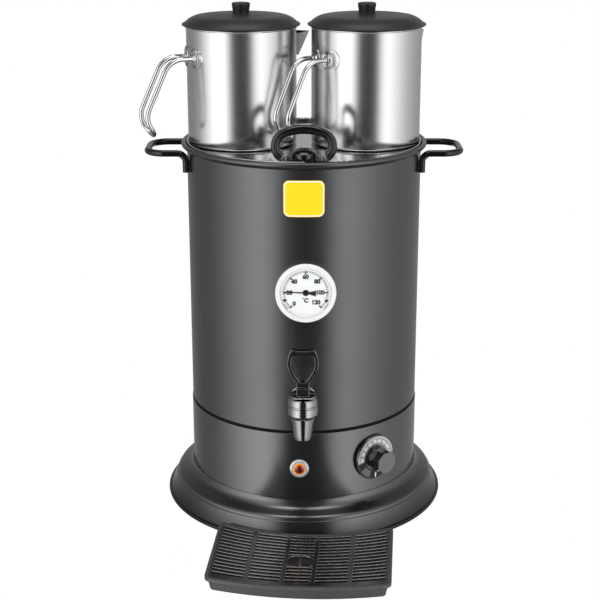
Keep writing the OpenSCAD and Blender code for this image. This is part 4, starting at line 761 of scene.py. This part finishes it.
def grown(tree, **values):
    """Runs a geometry node tree once and hands back a plain mesh."""
    holder = bpy.data.objects.new("holder", bpy.data.meshes.new("holder"))
    scene.collection.objects.link(holder)
    modifier = holder.modifiers.new("grow", "NODES")
    modifier.node_group = tree
    for item in tree.interface.items_tree:
        if item.in_out == "INPUT" and item.name in values:
            modifier[item.identifier] = values[item.name]
    evaluated = holder.evaluated_get(bpy.context.evaluated_depsgraph_get())
    mesh = bpy.data.meshes.new_from_object(evaluated)
    bpy.data.objects.remove(holder)
    return mesh


def ticks(radius, start, end, count, width, length, ink):
    """Ticks of one length in mm, at even angles in degrees from start to end."""
    step = math.radians((end - start) / (count - 1))
    return mesh_data(grown(
        TICKS, Radius=radius * MM, Start=math.radians(start), Step=step, Width=width * MM,
        Length=length * MM, Thickness=TICK_THICKNESS * MM, Count=count, Ink=ink))


print("tick runner ready")

# %% [markdown]
# The numbers on the dials are plain type. A text object is made a mesh at once and its points are
# carried into place, which leaves the object at the origin. The font's size counts from the foot of
# a g to the top of an l, so it is larger than the height of a figure.

# %% numbers
FONT_SIZE_PER_HEIGHT = 1.38
TYPE_THICKNESS = 0.03


def words(text, height, x=0.0, y=0.0, lean=0.0, weight=0.0):
    """Type as mesh data: height and place in mm in the local frame, lean in degrees."""
    curve = bpy.data.curves.new("type", "FONT")
    curve.body, curve.size = text, height * FONT_SIZE_PER_HEIGHT * MM
    curve.align_x, curve.align_y = "CENTER", "CENTER"
    curve.extrude, curve.offset = TYPE_THICKNESS * MM / 2, weight * MM
    curve.resolution_u = 4
    holder = bpy.data.objects.new("type", curve)
    scene.collection.objects.link(holder)
    evaluated = holder.evaluated_get(bpy.context.evaluated_depsgraph_get())
    mesh = bpy.data.meshes.new_from_object(evaluated)
    bpy.data.objects.remove(holder)
    move = Matrix.Translation((x * MM, y * MM, 0)) @ Matrix.Rotation(math.radians(lean), 4, "Z")
    return mesh_data(mesh, move)


print("type ready")

# %% [markdown]
# The thermometer reads from 0 at the lower left to 120 at the lower right, over 270 degrees of turn.
# It has a fine tick every two degrees, a bold one every twenty with its number inside, a small
# triangle on each side, and a thin arc below each triangle.

# %% thermometer scale
INK = coated("dial_ink", (0.012, 0.012, 0.014), 0.0, 1500, 0.02, 0.4, 0.5)
SCALE_TOP = 120
FINE_TICKS = dict(radius=22.1, count=61, width=0.62, length=2.5)
BOLD_TICKS = dict(radius=21.1, count=7, width=1.5, length=3.6)
SIDE_MARK = dict(radius=23.0, width=4.8, depth=3.6, low=0.04, high=0.09)
SIDE_ARC = dict(inner=25.0, outer=25.6, low=-0.03, high=0.03)


def dial_angle(degrees_c):
    return 225 - degrees_c * 2.25


def mark_triangle(radius, angle, width, depth, low, high):
    x, y = polar(radius, angle)
    outline = [(x - width / 2, y + depth / 2), (x, y - depth / 2), (x + width / 2, y + depth / 2)]
    return slab(outline, low, high)


thermo_parts = [
    ticks(start=dial_angle(0), end=dial_angle(SCALE_TOP), ink=INK, **row) for row in (FINE_TICKS, BOLD_TICKS)
]
for degrees_c in range(0, SCALE_TOP + 1, 20):
    reach = 16.5 if degrees_c < 100 else 14.6
    x, y = polar(reach, dial_angle(degrees_c))
    thermo_parts.append(words(str(degrees_c), 4.3, x, y, weight=0.4))
thermo_parts += [mark_triangle(angle=angle, **SIDE_MARK) for angle in (202, -24)]
thermo_parts += [ring_sector(start=start, end=start + 16, **SIDE_ARC) for start in (207, -43)]
thermo_parts += [words("C", 4.2, 0.4, -8.4, weight=0.42), words("o", 1.6, -2.5, -5.9, weight=0.2)]
print("marks on the thermometer:", sum(len(p[1]) for p in thermo_parts), "faces")

# %% [markdown]
# All the marks become one piece, laid a twentieth of a millimetre above the dial. The scale stays
# with the urn's body, and only the pointer turns over it.

# %% lay the scale on its dial
DIAL_TOP, PRINT_LIFT = 3.4, 0.05
thermo_frame = out_of_wall(**THERMO) @ Matrix.Translation((0, 0, (DIAL_TOP + PRINT_LIFT) * MM))
thermo_print = piece(
    "thermometer_scale", *carried(joined(thermo_parts), thermo_frame), INK, "urn", "pointer_black")
print("thermometer scale:", len(thermo_print.data.polygons), "faces")

# %% [markdown]
# The thermostat's disc carries a silvery scale with white print from 30 to 110. The scale turns with the
# knob, so it rides on the knob's body. A small white mark at the foot of the disc is the off position. The
# dark sector beside it has no numbers, only a lighter patch, which is a painted reflection. Each layer is a
# piece with its own finish, and lies a little above the one below.

# %% prints of the thermostat's disc
SILVER = coated("silver_print", (0.30, 0.30, 0.30), 0.35, 1800, 0.05, 0.3, 0.4, 0.1)
DARK = coated("dark_print", (0.016, 0.016, 0.016), 0.0, 1500, 0.05, 0.3, 0.4, IOR=1.3)
# a painted reflection: a lighter grey patch laid on the dark sector
PAINTED_REFLECTION = coated("painted_reflection_patch", (0.130, 0.130, 0.130), 0.3, 1500, 0.05, 0.3, 0.4)
WHITE = coated("white_print", (0.85, 0.85, 0.85), 0.0, 1500, 0.02, 0.3, 0.4, 0.02)
print("prints:", SILVER.name, DARK.name, PAINTED_REFLECTION.name, WHITE.name)

# %% [markdown]
# The disc's ticks and numbers go round with the knob, past a fixed point on the housing. So every
# number leans with its place on the ring, and the one that is on top reads upright.

# %% ticks and numbers of the disc
FIRST_NUMBER_ANGLE, NUMBER_STEP, NUMBER_REACH = 178, 20.8, 18.2
scale_parts = [
    ticks(22.5, 8, 184, 81, 0.34, 1.5, WHITE),
    ticks(22.1, 8, 184, 17, 0.6, 2.3, WHITE),
]
for step, number in enumerate(range(30, 111, 10)):
    angle = FIRST_NUMBER_ANGLE - step * NUMBER_STEP
    x, y = polar(NUMBER_REACH, angle)
    scale_parts.append(words(str(number), 3.5, x, y, lean=angle - 90, weight=0.2))
print("marks on the disc:", sum(len(p[1]) for p in scale_parts), "faces")

# %% [markdown]
# Now the layers are laid. The first number of each row is its extra lift in mm above the frame that
# all of them share.

# %% lay the disc's layers
DISC_TOP, DISC_LIFT = 3.3, 0.04
GROUND = dict(low=-0.04, high=0.04)
ABOVE = dict(low=0.05, high=0.09)
OFF_MARK = [(-0.5, -23.2), (0.7, -23.2), (1.3, -18.4), (0.2, -17.2), (-0.6, -18.6)]

knob_frame = out_of_wall(**KNOB) @ Matrix.Translation((0, 0, (DISC_TOP + DISC_LIFT) * MM))
layers = (
    (0.0, "number_ring", ring_sector(14.6, 23.6, 2, 188, **GROUND), SILVER, "dial_case"),
    (0.07, "number_ring_print", joined(scale_parts), WHITE, "dial_case"),
    (0.0, "dark_sector", ring_sector(13.6, 23.8, 189, 330, **GROUND), DARK, "rod_black"),
    # the lighter patch is a painted reflection
    (0.0, "painted_reflection_patch", ring_sector(15.2, 22.8, 212, 248, **ABOVE), PAINTED_REFLECTION, "rod_black"),
    (0.0, "off_mark", slab(OFF_MARK, **ABOVE), WHITE, "dial_case"),
)
for lift, name, part, finish, slot in layers:
    layer_frame = knob_frame @ Matrix.Translation((0, 0, lift * MM))
    piece(name, *carried(part, layer_frame), finish, "knob", slot)
print("layers on the disc:", len(layers))

# %% [markdown]
# The badge is a blank enamelled plate that follows the jacket's curve. Its solid is the plate
# itself. A white panel and a smaller yellow panel lie on it, each a little smaller than the one
# below, so the plate shows a thin rim and a white border. A flat outline is cut into strips, so
# that it can bend, and given its thickness before it is wrapped round the jacket.

# %% badge panels
BADGE_HEIGHT = 0.3665
STRIP = 2


def rounded_outline(width, height, radius, steps=8):
    points = []
    for cx, cy, start in ((1, 1, 0), (-1, 1, 90), (-1, -1, 180), (1, -1, 270)):
        for i in range(steps + 1):
            a = math.radians(start + 90 * i / steps)
            x = cx * (width / 2 - radius) + radius * math.cos(a)
            points.append((x, cy * (height / 2 - radius) + radius * math.sin(a)))
    return points


def curved_panel(name, width, height, radius, low, high, material, slot):
    """A thin panel that is bent round the jacket; low and high are its radii in mm."""
    bm = bmesh.new()
    rim = [bm.verts.new((x, y, 0)) for x, y in rounded_outline(width, height, radius)]
    bm.faces.new(rim)
    for x in range(-int(width / 2) + 1, int(width / 2), STRIP):
        geometry = bm.verts[:] + bm.edges[:] + bm.faces[:]
        bmesh.ops.bisect_plane(bm, geom=geometry, plane_co=(x, 0, 0), plane_no=(1, 0, 0))
    top = bmesh.ops.extrude_face_region(bm, geom=bm.faces[:])
    for v in top["geom"]:
        if isinstance(v, bmesh.types.BMVert):
            v.co.z = 1
    verts = []
    bm.verts.index_update()
    for v in bm.verts:
        r, a = (high if v.co.z > 0.5 else low) * MM, v.co.x * MM / BODY_R
        verts.append((r * math.sin(a), -r * math.cos(a), BADGE_HEIGHT + v.co.y * MM))
    faces = [tuple(v.index for v in f.verts) for f in bm.faces]
    bm.free()
    return piece(name, verts, faces, material, "urn", slot)


curved_panel("badge_white_panel", 39.8, 35.8, 5.5, 125.80, 125.95, WHITE, "dial_white")
curved_panel("badge_yellow_panel", 37.6, 33.6, 4.6, 125.90, 126.10, FINISH["badge_yellow"], "badge_yellow")
print("badge panels laid")

# %% [markdown]
# Each jug's handle is a bent rod whose two ends are welded to a plate. Round each end the plate is
# pressed up into a shallow flange with a raised edge and four spot welds. The flange is a round
# grid of points, lifted by the profile below and bent round the jug. A lathe shape wouldn't do,
# because the welds aren't round about its axis and the plate isn't flat. The profile's pairs are
# a radius and a height in mm.

# %% profile of a weld flange
JUG = dict(x=JUG_X / MM, z=399.9, plate=58.8, rod_z=92.5, rod_pitch=22.0)
JUG_TURN = {"left": 24.0, "right": 35.5}
FLANGE_PROFILE = (
    (2.3, 1.9), (2.9, 1.55), (3.4, 0.95), (4.0, 0.5), (4.8, 0.32), (5.6, 0.3), (6.4, 0.32),
    (7.2, 0.42), (7.9, 0.75), (8.5, 0.98), (9.1, 0.92), (9.6, 0.5), (9.9, -0.1),
)
WELD_R, WELD_REACH, WELD_RISE = 1.15, 5.7, 0.5


def flange_height(x, y, ground):
    for k in range(4):
        wx, wy = polar(WELD_REACH, 45 + 90 * k)
        d = math.hypot(x - wx, y - wy)
        if d < WELD_R:
            ground += WELD_RISE * math.cos(d / WELD_R * math.pi / 2) ** 2
    return ground


def flange_rings():
    rings = []
    for (r0, h0), (r1, h1) in zip(FLANGE_PROFILE, FLANGE_PROFILE[1:]):
        rings += [(r0 + (r1 - r0) * k / 2, h0 + (h1 - h0) * k / 2) for k in range(2)]
    return rings + [FLANGE_PROFILE[-1]]


print("flange rings:", len(flange_rings()))

# %% [markdown]
# The grid starts as flat rings of points round the end of the rod. Each point is pushed out by the
# profile and wrapped onto the wall, whose axis and turn are the jug's own. Faces join neighbouring
# points, and a face at each end closes the flange. It rides on its jug and lifts off with it.


# %% lay the weld flanges
def weld_flange(side, end, around=64):
    rings = flange_rings()
    turn = Matrix.Translation(((-1 if side == "left" else 1) * JUG["x"], 0, JUG["z"]))
    turn = turn @ Matrix.Rotation(math.radians(JUG_TURN[side]), 4, "Z")
    middle = math.asin(end * JUG["rod_pitch"] / 2 / JUG["plate"])
    verts = []
    for r, h in rings:
        for k in range(around):
            x, y = polar(r, 360 * k / around)
            out = JUG["plate"] + flange_height(x, y, h)
            a = middle + x / JUG["plate"]
            spot = turn @ Vector((-out * math.cos(a), out * math.sin(a), JUG["rod_z"] + y))
            verts.append(spot * MM)
    faces = []
    for i in range(len(rings) - 1):
        low, high = i * around, (i + 1) * around
        for k in range(around):
            m = (k + 1) % around
            faces.append((low + k, low + m, high + m, high + k))
    last = (len(rings) - 1) * around
    faces.append(tuple(range(around)))
    faces.append(tuple(last + k for k in reversed(range(around))))
    return verts, faces


for side in ("left", "right"):
    for end, tag in ((-1, "front"), (1, "back")):
        name, body = f"jug_{side}_flange_{tag}", f"jug_{side}"
        piece(name, *weld_flange(side, end), FINISH["mirror_steel"], body, "mirror_steel", True)
print("weld flanges laid")

# %% [markdown]
# The floor is a wide white sheet. The camera sees it as plain white, as in a picture that was cut
# out. It still throws light up at the urn, but polished metal looks past it into the studio, since
# a white floor in every reflection would wash the dark finishes out.

# %% floor
floor_mesh = bpy.data.meshes.new("floor")
floor_mesh.from_pydata([(-6, -4, 0), (6, -4, 0), (6, 8, 0), (-6, 8, 0)], [], [(0, 1, 2, 3)])
floor = bpy.data.objects.new("floor", floor_mesh)
scene.collection.objects.link(floor)
floor_finish, floor_tree, floor_shader = finish_named("white_sheet", (0.86, 0.86, 0.86), 0.0, 0.7)
floor_mesh.materials.append(floor_finish)
ft, floor_link = floor_tree.nodes, floor_tree.links.new
paper, gone = ft.new("ShaderNodeEmission"), ft.new("ShaderNodeBsdfTransparent")
lit, seen, path = ft.new("ShaderNodeMixShader"), ft.new("ShaderNodeMixShader"), ft.new("ShaderNodeLightPath")
floor_link(path.outputs["Is Glossy Ray"], lit.inputs[0])
floor_link(floor_shader.outputs[0], lit.inputs[1])
floor_link(gone.outputs[0], lit.inputs[2])
floor_link(path.outputs["Is Camera Ray"], seen.inputs[0])
floor_link(lit.outputs[0], seen.inputs[1])
floor_link(paper.outputs[0], seen.inputs[2])
floor_link(seen.outputs[0], ft["Material Output"].inputs["Surface"])
print("floor laid")
